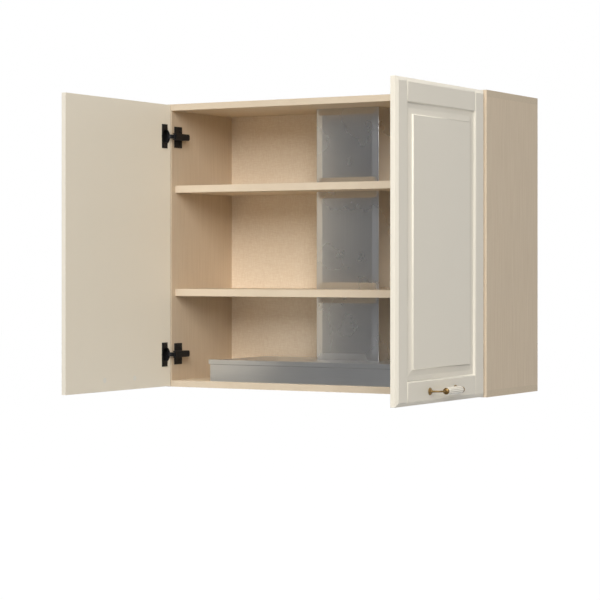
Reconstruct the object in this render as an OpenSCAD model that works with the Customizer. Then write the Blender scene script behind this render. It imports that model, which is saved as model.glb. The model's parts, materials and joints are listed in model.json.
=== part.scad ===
// Kitchen wall cabinet, 900 mm wide, with two framed doors on concealed hinges, two fixed
// shelves and a built-in cooker hood whose duct rises behind three sheet metal covers.
// Millimetres. +Z is up, the doors face -Y, and the origin lies on the wall plane, midway
// between the two holes that the cabinet hangs from. The doors stand open at rest.

/* [Cabinet] */
// Outside width
cab_w = 900; // [820:1:1200]
// Outside height
cab_h = 720; // [700:1:900]
// Depth from the front edges to the wall
cab_d = 295; // [285:1:360]
// Thickness of the side, top and bottom boards
board_t = 16; // [16:0.5:19]
// Thickness of the banding on the front edges
band_t = 0.8; // [0.4:0.1:2]
// Thickness of the back panel
back_t = 3; // [2.5:0.1:4]
// Distance from the wall plane to the back panel
back_inset = 2.5; // [2:0.1:6]
// Depth of the groove that holds the back panel
back_groove = 4; // [3:0.1:4]

/* [Shelves] */
// Thickness of the shelves
shelf_t = 18; // [16:0.5:25]
// Height of the lower shelf above the cabinet's underside
lower_shelf_z = 231; // [228:1:300]
// Height of the upper shelf above the cabinet's underside
upper_shelf_z = 495; // [400:1:560]
// Distance from the front of the cabinet back to the shelves
shelf_setback = 17; // [5:1:40]
// Diameter of the shelf pins
shelf_pin_d = 5; // [4:0.5:6]
// Length of a shelf pin
shelf_pin_l = 18; // [14:1:20]

/* [Wall hanging] */
// Height of the hanging holes below the top of the cabinet
hang_drop = 60; // [50:1:120]
// Distance of the hanging holes from the outer faces
hang_side = 7; // [6.5:0.1:7]
// Width of a hanging plate
hang_plate_w = 11; // [10:0.1:11.5]
// Height of a hanging plate
hang_plate_h = 50; // [46:1:60]
// Thickness of a hanging plate
hang_plate_t = 2; // [1.5:0.1:2.5]
// Diameter of the hole that the wall screw's head enters
hang_hole_d = 8; // [7:0.1:8.4]
// Width of the slot above the hole
hang_slot_w = 4.6; // [4:0.1:4.8]
// Distance from the hole up to the top of the slot's run
hang_slot_l = 10; // [6:0.5:12]

/* [Doors] */
// Thickness of a door
door_t = 16; // [16:0.5:20]
// Gap between a door and the edges of the cabinet
door_edge_gap = 2; // [1:0.1:3]
// Gap between the two closed doors
door_middle_gap = 4; // [2:0.1:6]
// Gap between a closed door and the cabinet's front
door_front_gap = 2; // [2:0.1:3]
// Width of the stiles and rails
stile_w = 51; // [46:1:60]
// Width of the sloping outer edge
edge_slope_w = 9; // [3:0.5:10]
// Depth of the sloping outer edge
edge_slope_d = 4.5; // [1:0.1:4.5]
// Width of the V grooves at the joints of stiles and rails
joint_groove_w = 5; // [1:0.1:6]
// Depth of the V grooves
joint_groove_d = 2.5; // [0.5:0.1:3]
// Width of the steep slope inside the frame
frame_slope_w = 4; // [3:0.5:8]
// Depth at the foot of the steep slope
frame_slope_d = 5; // [3:0.1:5.5]
// Depth of the lowest line round the field
valley_d = 6; // [5.6:0.1:7]
// Width from the steep slope to the lowest line
valley_w = 10; // [4:0.5:10]
// Width of the gentle slope that rises to the field
field_slope_w = 13; // [8:0.5:16]
// Depth at the top of the gentle slope
field_slope_d = 3.6; // [2:0.1:4]
// Width of the small step at the field's edge
field_step_w = 2; // [1:0.1:4]

/* [Hinges] */
// Height of the hinges above the underside, and below the top
hinge_z = 83; // [75:1:150]
// Diameter of the hinge cup
cup_d = 35; // [35:0.1:35.5]
// Distance from the door's edge to the cup's rim
cup_edge = 4; // [3.5:0.1:5]
// Depth of the cup
cup_depth = 11.8; // [11.5:0.1:12]
// Wall thickness of the cup
cup_wall = 0.8; // [0.6:0.1:0.9]
// Thickness of the cup's flange
flange_t = 1.2; // [0.8:0.1:1.2]
// Height of the flange
flange_h = 61; // [56:1:66]
// Width of the flange's ears
ear_w = 24.8; // [20:0.1:25]
// Distance between a flange's two screws
cup_screw_pitch = 48; // [45:0.5:52]
// Height of the mounting plate's wings
wing_h = 54; // [50:1:60]
// Width of the wings
wing_w = 34; // [20:1:36]
// Distance from the front edge back to the wings
wing_y = 12; // [10:0.5:14]
// Distance between a plate's two screws
wing_screw_pitch = 32; // [30:1:36]
// Height of the hinge arm's channel
arm_h = 16; // [15:0.1:17]
// Wall thickness of the arm
arm_wall = 1.2; // [1:0.1:1.4]
// Distance from the cabinet's front back to the end of the arm's sides
arm_reach = 52; // [40:1:53]
// Distance from the cabinet's front back to the end of the arm's narrow tail
arm_tail = 54; // [54:1:66]
// Height of the tail and of the block under it
tail_h = 11; // [8:0.5:12]
// Height of the link
link_h = 10; // [8:0.5:10]
// Half thickness of the link's bar
link_r = 1.2; // [1:0.1:1.3]

/* [Handles] */
// Distance between a handle's two screws
handle_pitch = 128; // [118:1:160]
// Height of the handle's axis above the door's lower edge
handle_z = 27.2; // [24:0.1:30]
// Distance of the grip's axis from the door
handle_reach = 28; // [23:0.5:35]
// Length of the ceramic grip
grip_l = 72; // [60:1:90]
// Diameter of the grip
grip_d = 17.5; // [14:0.5:18]
// Diameter of the metal arms
handle_arm_d = 4.4; // [4:0.1:6]
// Diameter of the rosettes
rosette_d = 17; // [16:0.5:22]
// Thickness of the rosettes
rosette_t = 3; // [2:0.5:4]

/* [Hood] */
// Width of the hood's body
hood_w = 600; // [560:1:620]
// Width of the front bar
bar_w = 648; // [640:1:680]
// Height of the hood above the bottom board
hood_h = 55.5; // [50:0.5:60]
// Distance from the front edge back to the bar's lip
bar_y = 3; // [1:0.5:8]
// Depth of the front bar
bar_d = 19; // [15:0.5:24]
// Height of the bar's lip
lip_h = 12; // [8:0.5:16]
// Distance that the lip overhangs the bar
lip_out = 3; // [1:0.5:4]
// Depth of the hood's body
hood_d = 229; // [225:1:235]
// Thickness of the hood's sheet metal
sheet_t = 1.2; // [0.8:0.1:1.5]
// Distance of the intake tray above the cabinet's underside
tray_z = 3; // [3:0.5:5]
// Width of the bar between the two grease filters
filter_bar = 20; // [16:0.5:24]
// Width of the tray beside the filters
filter_side = 15; // [12:0.5:20]
// Width of the strip in front of the filters, for the lamp and switches
lamp_strip = 49; // [46:0.5:54]
// Width of the strip behind the filters
filter_rear = 9; // [8:0.5:12]
// Thickness of a grease filter
filter_t = 8; // [7:0.5:9]
// Width of a filter's frame
filter_rim = 8; // [6:0.5:12]

/* [Fan and duct] */
// Inner width of the outlet collar, for the house's duct
outlet_d = 125; // [125:0.5:126]
// Outer diameter of the duct pipe
pipe_d = 120; // [119:0.5:121]
// Wall thickness of the duct pipe
pipe_wall = 1.1; // [0.8:0.1:1.2]
// Distance from the duct pipe to the back panel
pipe_gap = 13.5; // [13:0.5:14]
// Diameter of the fan's scroll
scroll_d = 124; // [118:1:126]
// Width of the fan's scroll
scroll_w = 110; // [100:1:116]
// Height of the fan's axis above the hood
fan_rise = 70; // [66:1:72]
// Diameter of the fan wheel
wheel_d = 100; // [90:1:104]
// Width of the fan wheel
wheel_w = 80; // [70:1:84]
// Blades on the fan wheel
blade_count = 24; // [16:1:30]
// Width of the duct covers
cover_w = 178; // [176:1:200]
// Distance that the duct covers stand out from the back panel
cover_d = 150.5; // [146:0.5:152]
// Thickness of the covers' sheet metal
cover_t = 1; // [0.8:0.1:1.2]
// Width of the sloping border round a cover's face
border_w = 18; // [12:1:24]
// Depth of the sloping border
border_d = 3; // [1:0.5:4]

/* [Hidden] */
$fn = 48;
over = 1; // Extra length of a cutting shape past a face

// Radial gap between a fastener and its hole, and a running gap round a pin
screw_gap = 0.05;
pin_gap = 0.05;
// Gap between pieces that slide into each other by hand
seat_gap = 0.3;

// Planes of the cabinet, measured from the front edges and the underside
half_w = cab_w / 2;
inner_x = half_w - board_t;
inner_top = cab_h - board_t;
back_y = cab_d - back_inset - back_t;
hang_z = cab_h - hang_drop;
hang_screw_r = 1.5;
hang_screw_l = 14;
hang_screw_inset = 4.5; // From a plate's end
hang_head_r = 2.6;
hang_head_h = 1.2;
hang_pocket_d = 24; // Depth of the pocket that the wall screw's head runs in
shelf_pin_r = shelf_pin_d / 2;

// Joints between the boards: distances from the front and from the wall, and the sizes of
// screws and dowels
carcass_screw_front = 40;
carcass_screw_rear = 60;
dowel_front = 80;
dowel_rear = 100;
carcass_screw_ys = [carcass_screw_front, cab_d - carcass_screw_rear];
dowel_ys = [dowel_front, cab_d - dowel_rear];
carcass_screw_r = 3.5;
carcass_screw_tip_r = 2.5;
carcass_screw_l = 50;
carcass_head_r = 5;
carcass_head_h = 3;
dowel_r = 4;
dowel_l = 30;
dowel_cap = 4; // Board left beyond a dowel's blind end
shelf_pin_front = 50;
shelf_pin_rear = 45;
shelf_pin_ys = [shelf_pin_front, cab_d - shelf_pin_rear];

// Door sizes, and the line that the doors turn about
door_w = half_w - door_edge_gap - door_middle_gap / 2;
door_h = cab_h - 2 * door_edge_gap;
door_x = -half_w + door_edge_gap;
door_back_y = -door_front_gap;
door_face_y = door_back_y - door_t;
rest_open = 90;
open_face_gap = 1; // Outer face of an open door stays this far inside the cabinet's side
open_edge_y = -6.5; // Hinge edge of an open door
pivot_sum = open_edge_y + door_x;
pivot_difference = -half_w + open_face_gap - door_face_y;
pivot = [(pivot_sum + pivot_difference) / 2, (pivot_sum - pivot_difference) / 2];

// Hinge cup, arm and link
cup_r = cup_d / 2;
cup_x = door_x + cup_edge + cup_r;
cup_inner_r = cup_r - cup_wall;
flange_rim = 0.8;
flange_front = door_back_y + flange_t;
ear_x = door_x + cup_edge + cup_d + flange_rim - 0.5 - ear_w;
cup_screw_offset = 9.5; // Cup screws lie this far from the cup's middle
cup_screw_x = cup_x + cup_screw_offset;
cup_screw_r = 1.7;
cup_screw_l = 10;
cup_head_r = 3.2;
cup_head_h = 1.2;
link_reach = 22;
link_tilt = 14.5;
cup_pin_reach = 9.5;
cup_pin_r = 1.2;
cup_eye_r = 2.4;
arm_eye_r = 2;
function polar(r, a) = [r * cos(a), r * sin(a)];
arm_point = pivot + polar(link_reach, link_tilt);
cup_point_closed = pivot + polar(cup_pin_reach, link_tilt + rest_open / 2);
cup_point_open = pivot + polar(cup_pin_reach, link_tilt - rest_open / 2);
link_l = norm(arm_point - cup_point_open);
link_open = arm_point - cup_point_open;
link_angle = atan2(link_open[1], link_open[0]);
link_pull = [0.1 * link_l, -9]; // Point that the link's curve is drawn towards
link_steps = 10;
arm_web_gap = 4.6; // Room that the link's free end needs in the arm
arm_web_x = arm_point[0] + arm_eye_r + arm_web_gap;
arm_nose_r = 4;
arm_chamfer = 6;
rivet_head = 0.6;
wing_t = 2;
hinge_zs = [hinge_z, cab_h - hinge_z];
wing_screw_inset = 25; // From a wing's front edge, on the 37 mm line of a cabinet's drilling
hinge_screw_y = wing_y + wing_screw_inset;
wing_screw_r = 2.4;
wing_screw_l = 11;
wing_head_r = 3.4;
wing_head_h = 1.5;

// Handles
handle_screw_r = 2;
handle_head_r = 4;
handle_head_h = 2.2;
cap_r = 6.4;
cap_t = 1;
cap_recess = 3.3;
boss_r = 4.5;
boss_h = 6;
rosette_step = 1.5; // Width of a rosette's lower rim
arm_sunk = 1.5; // Length of a handle's arm inside its boss
arm_tip_back = 1; // The arm meets the bead this far behind its middle
rod_r = 2;
rod_end_gap = 0.5;
handle_x = door_x + door_w / 2;
handle_axis_y = door_face_y - handle_reach;
handle_axis_z = door_edge_gap + handle_z;
grip_end_r = grip_d / 2 - 1.5;
bead_r = grip_d / 2;
bead_round = 4; // Radius of a bead's rounded rim, and half its thickness
bead_x = grip_l / 2 + bead_round;
bead_bore = 6;
thread_l = 4; // Depth of a handle screw's hole inside the boss
thread_gap = 0.5;

// Hood, tray and filters
hood_x = hood_w / 2;
hood_front_y = bar_y + bar_d;
hood_back_y = hood_front_y + hood_d;
hood_top = board_t + hood_h;
hood_seat = 10; // Width of board that the hood's walls stand on
cut_x = hood_x - hood_seat;
cut_front_y = hood_front_y + hood_seat + 3;
cut_back_y = hood_back_y - hood_seat - 1;
hood_flange_w = 16;
bar_t = 1.5;
hood_flange_x = -hood_x - hood_flange_w / 2;
hood_screw_r = 1.9;
hood_screw_l = 11;
hood_head_r = 3.6;
hood_head_h = 2.2;
hood_screw_inset = 24;
bar_screw_inset = 120;
// Hood screws on the left: place across, place from the front and thickness of the sheet
hood_screw_points = [[hood_flange_x, hood_front_y + hood_screw_inset, sheet_t],
    [hood_flange_x, hood_back_y - hood_screw_inset, sheet_t],
    [-hood_x + bar_screw_inset, (bar_y + lip_out + hood_front_y) / 2, bar_t]];
tray_lip = 7;
filter_gap = 0.8;
filter_back_gap = 2;
filter_x = filter_bar / 2;
filter_w = cut_x - filter_side - filter_x - 2 * filter_gap;
filter_pin_r = 1.5;
filter_pin_l = 4.8;
filter_pin_inset = 3.2;
filter_back_y = cut_back_y - filter_rear;
filter_front_y = cut_front_y + lamp_strip + filter_gap;
filter_d = filter_back_y - filter_back_gap - filter_front_y;
filter_pin_y = filter_front_y + filter_d - filter_pin_inset;
filter_pin_z = tray_z + filter_t / 2;
filter_lip = 2;
lug_w = 5;
lug_d = 8;
mesh_t = filter_t - 3;
lens_w = 200;
lens_d = 28;
lens_inset = 25; // From the cut-out's front edge to the lens's middle
lens_y = cut_front_y + lens_inset;
lens_lip = 3;
lens_t = 1.2;
lamp_count = 5;
lamp_board_edge = 5;
lamp_board_w = lens_w - 2 * lamp_board_edge;
lamp_board_d = lens_d - 2 * lamp_board_edge;
lamp_board_t = 1.6;
lamp_pitch = lamp_board_w / lamp_count;
lamp_r = 4;
lamp_h = 1;
switch_y = lens_y;
stem_w = 5;
stem_d = 4;
knob_w = 12;
knob_d = 9;
knob_h = 2.2;
knob_gap = 0.2;
slide_plate_h = 1.2;
switch_side = 80; // From the hood's right wall to the light switch
switch_pitch = 70;
light_switch_x = hood_x - switch_side;
light_switch_travel = 6;
fan_switch_x = light_switch_x - switch_pitch;
fan_switch_travel = 18;

// Fan, duct and covers
pipe_r = pipe_d / 2;
duct_y = back_y - pipe_gap - pipe_r;
fan_z = hood_top + fan_rise;
scroll_r = scroll_d / 2;
scroll_t = 1.5;
spigot_r = pipe_r - pipe_wall - seat_gap;
spigot_drop = 8; // From the lower shelf's underside to the spigot's rim
spigot_top = lower_shelf_z - spigot_drop;
spigot_hold = 14; // Length of the spigot inside the pipe
pipe_bottom = spigot_top - spigot_hold;
pipe_stop_t = 2;
pipe_stop_out = 0.5;
inlet_r = 42;
bracket_w = 8;
bracket_r = inlet_r + bracket_w;
bracket_mid_r = inlet_r + bracket_w / 2;
bracket_t = 2;
bracket_hub = 2;
bracket_arm_w = 10;
bracket_arm_turns = [90, 210, 330];
bracket_screw_turns = [30, 150, 270];
spigot_foot = fan_z + bracket_r + scroll_t;
fan_base_t = 2;
fan_base_side = 4;
fan_foot_w = 40;
air_side = 10;
air_front = 6;
air_rear = 6;
air_x = cover_w / 2 - air_side;
air_front_y = duct_y - scroll_r + air_front;
air_back_y = hood_back_y - air_rear;
fan_base_front_y = air_front_y - 6;
fan_base_back_y = air_back_y + 5;
fan_screw_side = 8;
fan_screw_ys = [(air_front_y + fan_base_front_y) / 2, (air_back_y + fan_base_back_y) / 2];
fan_screw_r = 1.2;
fan_screw_past = 1; // A screw goes this far past the sheet under it
fan_head_r = 2.2;
fan_head_h = 1.4;
motor_r = 25;
motor_l = 38;
motor_gap = 6; // Between the motor and the wheel
motor_x = -wheel_w / 2 - motor_gap;
shaft_r = 3;
shaft_hold = 20;
hub_r = 8;
wheel_ring = 10;
outlet_r = outlet_d / 2;
collar_wall = 1.5;
collar_above = 8;
collar_depth = 32;
collar_socket = 10;
collar_r = outlet_r + collar_wall;
collar_flange_r = collar_r + 6;
cover_y = back_y - cover_d;
cover_x = cover_w / 2;
cover_foot = 12;
cover_screw_r = 1.4;
cover_screw_inset = 25;
cover_screw_x = (cover_t + cover_foot) / 2 - cover_x;
cover_head_r = 3;
cover_head_h = 1.5;
shelf_hole_r = pipe_r + 2;
cover_spans = [[hood_top, lower_shelf_z], [lower_shelf_z + shelf_t, upper_shelf_z],
    [upper_shelf_z + shelf_t, inner_top]];

beige = "#d9bf99";
beige_light = "#ecd6b6";
beige_back = "#dcc3a0";
cream = "#ddd6c4";
steel = "#9a9a96";
steel_dark = "#73726e";
black = "#202020";
brass = "#96743c";
white = "#f6f2e6";
zinc = "#a8a8a8";

// Moves the cabinet from its front lower edge to the wall frame
module on_wall() {
    translate([0, -cab_d, -hang_z]) children();
}

// A block between two corners
module block(low, high) {
    translate(low) cube(high - low);
}

// A cylinder along X, Y or Z that starts at a point
module rod_x(p, r, l) {
    translate(p) rotate([0, 90, 0]) cylinder(r = r, h = l);
}

module rod_y(p, r, l) {
    translate(p) rotate([-90, 0, 0]) cylinder(r = r, h = l);
}

module rod_z(p, r, l) {
    translate(p) cylinder(r = r, h = l);
}

// The same shape on the left and on the right
module both_sides() {
    children();
    mirror([1, 0, 0]) children();
}

// Carcass boards

// The groove for the back panel, on all four boards
module back_panel_groove() {
    grown = 0.15;
    x = inner_x + back_groove;
    block([-x, back_y - grown, board_t - back_groove],
        [x, back_y + back_t + grown, inner_top + back_groove]);
}

// Holes for one screw and one dowel line through a top or bottom joint on the left
module joint_cuts() {
    x = -half_w + board_t / 2;
    for (y = carcass_screw_ys) {
        for (low = [true, false]) {
            z = low ? 0 : cab_h;
            up = low ? 0 : 180;
            translate([x, y, z]) rotate([up, 0, 0]) carcass_screw_shape(screw_gap, over);
        }
    }
    for (y = dowel_ys) {
        for (z = [dowel_cap, cab_h - dowel_cap - dowel_l]) {
            rod_z([x, y, z - screw_gap], dowel_r + screw_gap, dowel_l + 2 * screw_gap);
        }
    }
}

// A screw with a flat conical head, from its head up; a gap makes it a hole
module carcass_screw_shape(gap, extra) {
    translate([0, 0, -extra]) cylinder(r = carcass_head_r + gap, h = extra + gap);
    cylinder(r1 = carcass_head_r + gap, r2 = carcass_screw_r + gap, h = carcass_head_h, $fn = 48);
    cylinder(r = carcass_screw_r + gap, h = board_t);
    cylinder(r = carcass_screw_tip_r + gap, h = carcass_screw_l + gap);
}

module hinge_plate_screw_holes() {
    for (z = hinge_zs) {
        for (dz = [-1, 1]) {
            rod_x([-inner_x - wing_screw_l - screw_gap, hinge_screw_y,
                z + dz * wing_screw_pitch / 2], wing_screw_r + screw_gap, wing_screw_l + over);
        }
    }
}

// The recess for a hanging plate and the pocket that the wall screw's head runs in
module hanging_pocket() {
    x = -half_w + hang_side;
    clear = 0.1;
    pocket_r = hang_hole_d / 2 + 0.6;
    pocket_d = hang_pocket_d;
    block([x - hang_plate_w / 2 - clear, cab_d - hang_plate_t, hang_z - hang_plate_h / 2 - clear],
        [x + hang_plate_w / 2 + clear, cab_d + over, hang_z + hang_plate_h / 2 + clear]);
    for (z = [hang_z, hang_z + hang_slot_l]) {
        rod_y([x, cab_d - pocket_d, z], pocket_r, pocket_d);
    }
    block([x - pocket_r, cab_d - pocket_d, hang_z], [x + pocket_r, cab_d, hang_z + hang_slot_l]);
    hanging_screw_shapes(screw_gap);
}

// Two small screws that hold a hanging plate, or their holes
module hanging_screw_shapes(gap) {
    x = -half_w + hang_side;
    for (dz = [-1, 1]) {
        z = hang_z + dz * (hang_plate_h / 2 - hang_screw_inset);
        rod_y([x, cab_d - hang_screw_l - gap, z], hang_screw_r + gap, hang_screw_l + gap);
        rod_y([x, cab_d - hang_head_h - gap, z], hang_head_r + gap, hang_head_h + 2 * gap);
    }
}

module side_board() {
    difference() {
        block([-half_w, band_t, board_t], [-inner_x, cab_d, inner_top]);
        back_panel_groove();
        joint_cuts();
        hanging_pocket();
        hinge_plate_screw_holes();
        shelf_pin_shapes(screw_gap);
    }
}

module left_side_panel() {
    color(beige) on_wall() side_board();
}

module right_side_panel() {
    color(beige) on_wall() mirror([1, 0, 0]) side_board();
}

module top_panel() {
    color(beige) on_wall() difference() {
        block([-half_w, band_t, inner_top], [half_w, cab_d, cab_h]);
        back_panel_groove();
        both_sides() joint_cuts();
        rod_z([0, duct_y, inner_top - over], collar_r + seat_gap, board_t + 2 * over);
    }
}

module bottom_panel() {
    color(beige) on_wall() difference() {
        block([-half_w, band_t, 0], [half_w, cab_d, board_t]);
        back_panel_groove();
        both_sides() joint_cuts();
        block([-cut_x, cut_front_y, -over], [cut_x, cut_back_y, board_t + over]);
        both_sides() hood_screw_shapes(screw_gap);
    }
}

module back_panel() {
    loose = 0.5;
    x = inner_x + back_groove - loose;
    color(beige_back) on_wall() difference() {
        block([-x, back_y, board_t - back_groove + loose],
            [x, back_y + back_t, inner_top + back_groove - loose]);
        cover_screw_shapes(screw_gap);
    }
}

module shelf_board(z) {
    loose = 0.5;
    x = inner_x - loose;
    difference() {
        block([-x, shelf_setback + band_t, z], [x, back_y - loose, z + shelf_t]);
        rod_z([0, duct_y, z - over], shelf_hole_r, shelf_t + 2 * over);
        both_sides() shelf_pin_slots(z);
    }
}

// Slots that sink the shelf pins into a shelf's underside
module shelf_pin_slots(z) {
    side = 0.1;
    reach = shelf_pin_l / 2 + 0.6;
    for (y = shelf_pin_ys) {
        block([-inner_x, y - shelf_pin_r - side, z - over],
            [-inner_x + reach, y + shelf_pin_r + side, z + shelf_pin_d + screw_gap]);
    }
}

module upper_shelf() {
    color(beige) on_wall() shelf_board(upper_shelf_z);
}

module lower_shelf() {
    color(beige) on_wall() shelf_board(lower_shelf_z);
}

module carcass_edge_bands() {
    color(beige_light) on_wall() {
        both_sides() block([-half_w, 0, board_t], [-inner_x, band_t, inner_top]);
        for (z = [0, inner_top]) {
            block([-half_w, 0, z], [half_w, band_t, z + board_t]);
        }
    }
}

module shelf_edge_bands() {
    x = inner_x - 0.5;
    color(beige_light) on_wall() for (z = [lower_shelf_z, upper_shelf_z]) {
        block([-x, shelf_setback, z], [x, shelf_setback + band_t, z + shelf_t]);
    }
}

// The pins on the left, or their holes in the side board
module shelf_pin_shapes(gap) {
    for (z = [lower_shelf_z, upper_shelf_z]) {
        for (y = shelf_pin_ys) {
            rod_x([-inner_x - shelf_pin_l / 2 - gap, y, z + shelf_pin_r], shelf_pin_r + gap,
                shelf_pin_l + gap);
        }
    }
}

module shelf_pins() {
    color(zinc) on_wall() both_sides() shelf_pin_shapes(0);
}

module carcass_screws() {
    x = -half_w + board_t / 2;
    color(zinc) on_wall() both_sides() for (y = carcass_screw_ys) {
        translate([x, y, 0]) carcass_screw_shape(0, 0);
        translate([x, y, cab_h]) rotate([180, 0, 0]) carcass_screw_shape(0, 0);
    }
}

module dowels() {
    x = -half_w + board_t / 2;
    color(beige_light) on_wall() both_sides() for (y = dowel_ys) {
        for (z = [dowel_cap, cab_h - dowel_cap - dowel_l]) {
            rod_z([x, y, z], dowel_r, dowel_l);
        }
    }
}

// Wall hanging

module hanging_plate() {
    x = -half_w + hang_side;
    slot_r = hang_slot_w / 2;
    cut = hang_plate_t + 2 * over;
    cut_y = cab_d - hang_plate_t - over;
    difference() {
        block([x - hang_plate_w / 2, cab_d - hang_plate_t, hang_z - hang_plate_h / 2],
            [x + hang_plate_w / 2, cab_d, hang_z + hang_plate_h / 2]);
        rod_y([x, cut_y, hang_z], hang_hole_d / 2, cut);
        rod_y([x, cut_y, hang_z + hang_slot_l], slot_r, cut);
        block([x - slot_r, cut_y, hang_z], [x + slot_r, cut_y + cut, hang_z + hang_slot_l]);
        hanging_screw_shapes(screw_gap);
    }
}

module hanging_plates() {
    color(zinc) on_wall() both_sides() hanging_plate();
}

module hanging_plate_screws() {
    color(zinc) on_wall() both_sides() hanging_screw_shapes(0);
}

// Hinges

// A copy for each hinge height on the left
module at_hinges() {
    for (z = hinge_zs) {
        translate([0, 0, z]) children();
    }
}

// Turns what is drawn on the closed left door to its open place
module opened() {
    translate(pivot) rotate([0, 0, -rest_open]) translate(-pivot) children();
}

// A plate with two wings and a block between them that the arm clips onto
module hinge_plate() {
    difference() {
        union() {
            block([-inner_x, wing_y, -wing_h / 2], [-inner_x + wing_t, wing_y + wing_w, wing_h / 2]);
            block([-inner_x, wing_y, -tail_h / 2], [arm_web_x - seat_gap, arm_tail - 2, tail_h / 2]);
        }
        for (dz = [-1, 1]) {
            rod_x([-inner_x - over, hinge_screw_y, dz * wing_screw_pitch / 2],
                wing_screw_r + screw_gap, wing_t + 2 * over);
        }
    }
}

module hinge_plates() {
    color(black) on_wall() both_sides() at_hinges() hinge_plate();
}

// The arm: a channel that is open to the wall, with a rivet each side at its nose and a tail
module hinge_arm() {
    foot_x = -inner_x + wing_t + seat_gap;
    face_x = arm_web_x + arm_wall;
    nose_y = arm_point[1] - arm_nose_r;
    cheek = [[face_x, arm_reach], [face_x, arm_point[1]], [arm_point[0] - arm_nose_r, arm_point[1]],
        [foot_x, wing_y], [foot_x, arm_reach - arm_chamfer], [foot_x + arm_chamfer, arm_reach]];
    for (dz = [-1, 1]) {
        z = dz * (arm_h / 2 - arm_wall / 2);
        translate([0, 0, z - arm_wall / 2]) linear_extrude(arm_wall) polygon(cheek);
        rod_z([arm_point[0], arm_point[1], z - arm_wall / 2], arm_nose_r, arm_wall);
        block([arm_point[0], nose_y, z - arm_wall / 2], [face_x, arm_point[1], z + arm_wall / 2]);
        rivet_z = dz > 0 ? link_h / 2 + seat_gap : -arm_h / 2 - rivet_head;
        rod_z([arm_point[0], arm_point[1], rivet_z], arm_eye_r,
            (arm_h - link_h) / 2 - seat_gap + rivet_head);
    }
    block([arm_web_x, nose_y, -arm_h / 2], [face_x, arm_reach, arm_h / 2]);
    block([arm_web_x, arm_reach, -tail_h / 2], [face_x, arm_tail, tail_h / 2]);
}

module hinge_arms() {
    color(black) on_wall() both_sides() at_hinges() hinge_arm();
}

module hinge_plate_screws() {
    color(zinc) on_wall() both_sides() at_hinges() for (dz = [-1, 1]) {
        z = dz * wing_screw_pitch / 2;
        rod_x([-inner_x - wing_screw_l, hinge_screw_y, z], wing_screw_r, wing_screw_l + wing_t);
        rod_x([-inner_x + wing_t, hinge_screw_y, z], wing_head_r, wing_head_h);
    }
}

// A hinge cup on the closed left door
module hinge_cup() {
    difference() {
        union() {
            rod_y([cup_x, door_back_y - cup_depth, 0], cup_r, cup_depth);
            rod_y([cup_x, door_back_y, 0], cup_r + flange_rim, flange_t);
            block([ear_x, door_back_y, -flange_h / 2], [ear_x + ear_w, flange_front, flange_h / 2]);
        }
        rod_y([cup_x, door_back_y - cup_depth + cup_wall, 0], cup_inner_r, cup_depth + flange_t);
        for (dz = [-1, 1]) {
            rod_y([cup_screw_x, door_back_y - over, dz * cup_screw_pitch / 2],
                cup_screw_r + screw_gap, flange_t + 2 * over);
        }
    }
}

module left_cups() {
    on_wall() opened() at_hinges() hinge_cup();
}

module left_hinge_cups() {
    color(black) left_cups();
}

module right_hinge_cups() {
    color(black) mirror([1, 0, 0]) left_cups();
}

module cup_screws() {
    on_wall() opened() at_hinges() for (dz = [-1, 1]) {
        z = dz * cup_screw_pitch / 2;
        rod_y([cup_screw_x, door_back_y - cup_screw_l, z], cup_screw_r, cup_screw_l + flange_t);
        rod_y([cup_screw_x, flange_front, z], cup_head_r, cup_head_h);
    }
}

module left_cup_screws() {
    color(zinc) cup_screws();
}

module right_cup_screws() {
    color(zinc) mirror([1, 0, 0]) cup_screws();
}

// The pin that the link turns on in the cup
module cup_pins() {
    dx = cup_point_closed[0] - cup_x;
    half = sqrt(cup_inner_r * cup_inner_r - pow(abs(dx) + cup_pin_r, 2)) - 0.1;
    on_wall() opened() at_hinges() {
        rod_z([cup_point_closed[0], cup_point_closed[1], -half], cup_pin_r, 2 * half);
    }
}

module left_cup_pins() {
    color(zinc) cup_pins();
}

module right_cup_pins() {
    color(zinc) mirror([1, 0, 0]) cup_pins();
}

// The link's centre line at a share t of its way, and the direction square to it
function link_centre(t) = 2 * t * (1 - t) * link_pull + t * t * [link_l, 0];
function link_slope(t) = (1 - 2 * t) * link_pull + t * [link_l, 0];
function link_side(t, r) = link_centre(t)
    + r * [-link_slope(t)[1], link_slope(t)[0]] / norm(link_slope(t));

// The cranked link of an open hinge, from the cup's pin into the arm
module hinge_link() {
    upper = [for (i = [0:link_steps]) link_side(i / link_steps, link_r)];
    lower = [for (i = [link_steps:-1:0]) link_side(i / link_steps, -link_r)];
    translate([cup_point_open[0], cup_point_open[1], -link_h / 2]) rotate([0, 0, link_angle]) {
        difference() {
            union() {
                cylinder(r = cup_eye_r, h = link_h);
                translate([link_l, 0, 0]) cylinder(r = arm_eye_r, h = link_h);
                linear_extrude(link_h) polygon(concat(upper, lower));
            }
            translate([0, 0, -over]) cylinder(r = cup_pin_r + pin_gap, h = link_h + 2 * over);
        }
    }
}

module left_hinge_links() {
    color(zinc) on_wall() at_hinges() hinge_link();
}

module right_hinge_links() {
    color(zinc) on_wall() mirror([1, 0, 0]) at_hinges() hinge_link();
}

// Doors

// Depth of the routed face below the front at each distance from the frame's inner edge
frame_foot = frame_slope_w;
valley_line = frame_foot + valley_w;
slope_top = valley_line + field_slope_w;
border = slope_top + field_step_w;

// A block that is deep below the face where a profile says, along one direction of length l
// and for a frame opening of width w; the profile is a list of [distance, depth] points
module sunk_profile(w, l, profile) {
    n = len(profile);
    near = [for (p = profile) [p[0], p[1]]];
    far = [for (i = [n - 1:-1:0]) [w - profile[i][0], profile[i][1]]];
    translate([0, 0, -over]) linear_extrude(l + 2 * over)
        polygon(concat([[0, -over]], near, far, [[w, -over]]));
}

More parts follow.
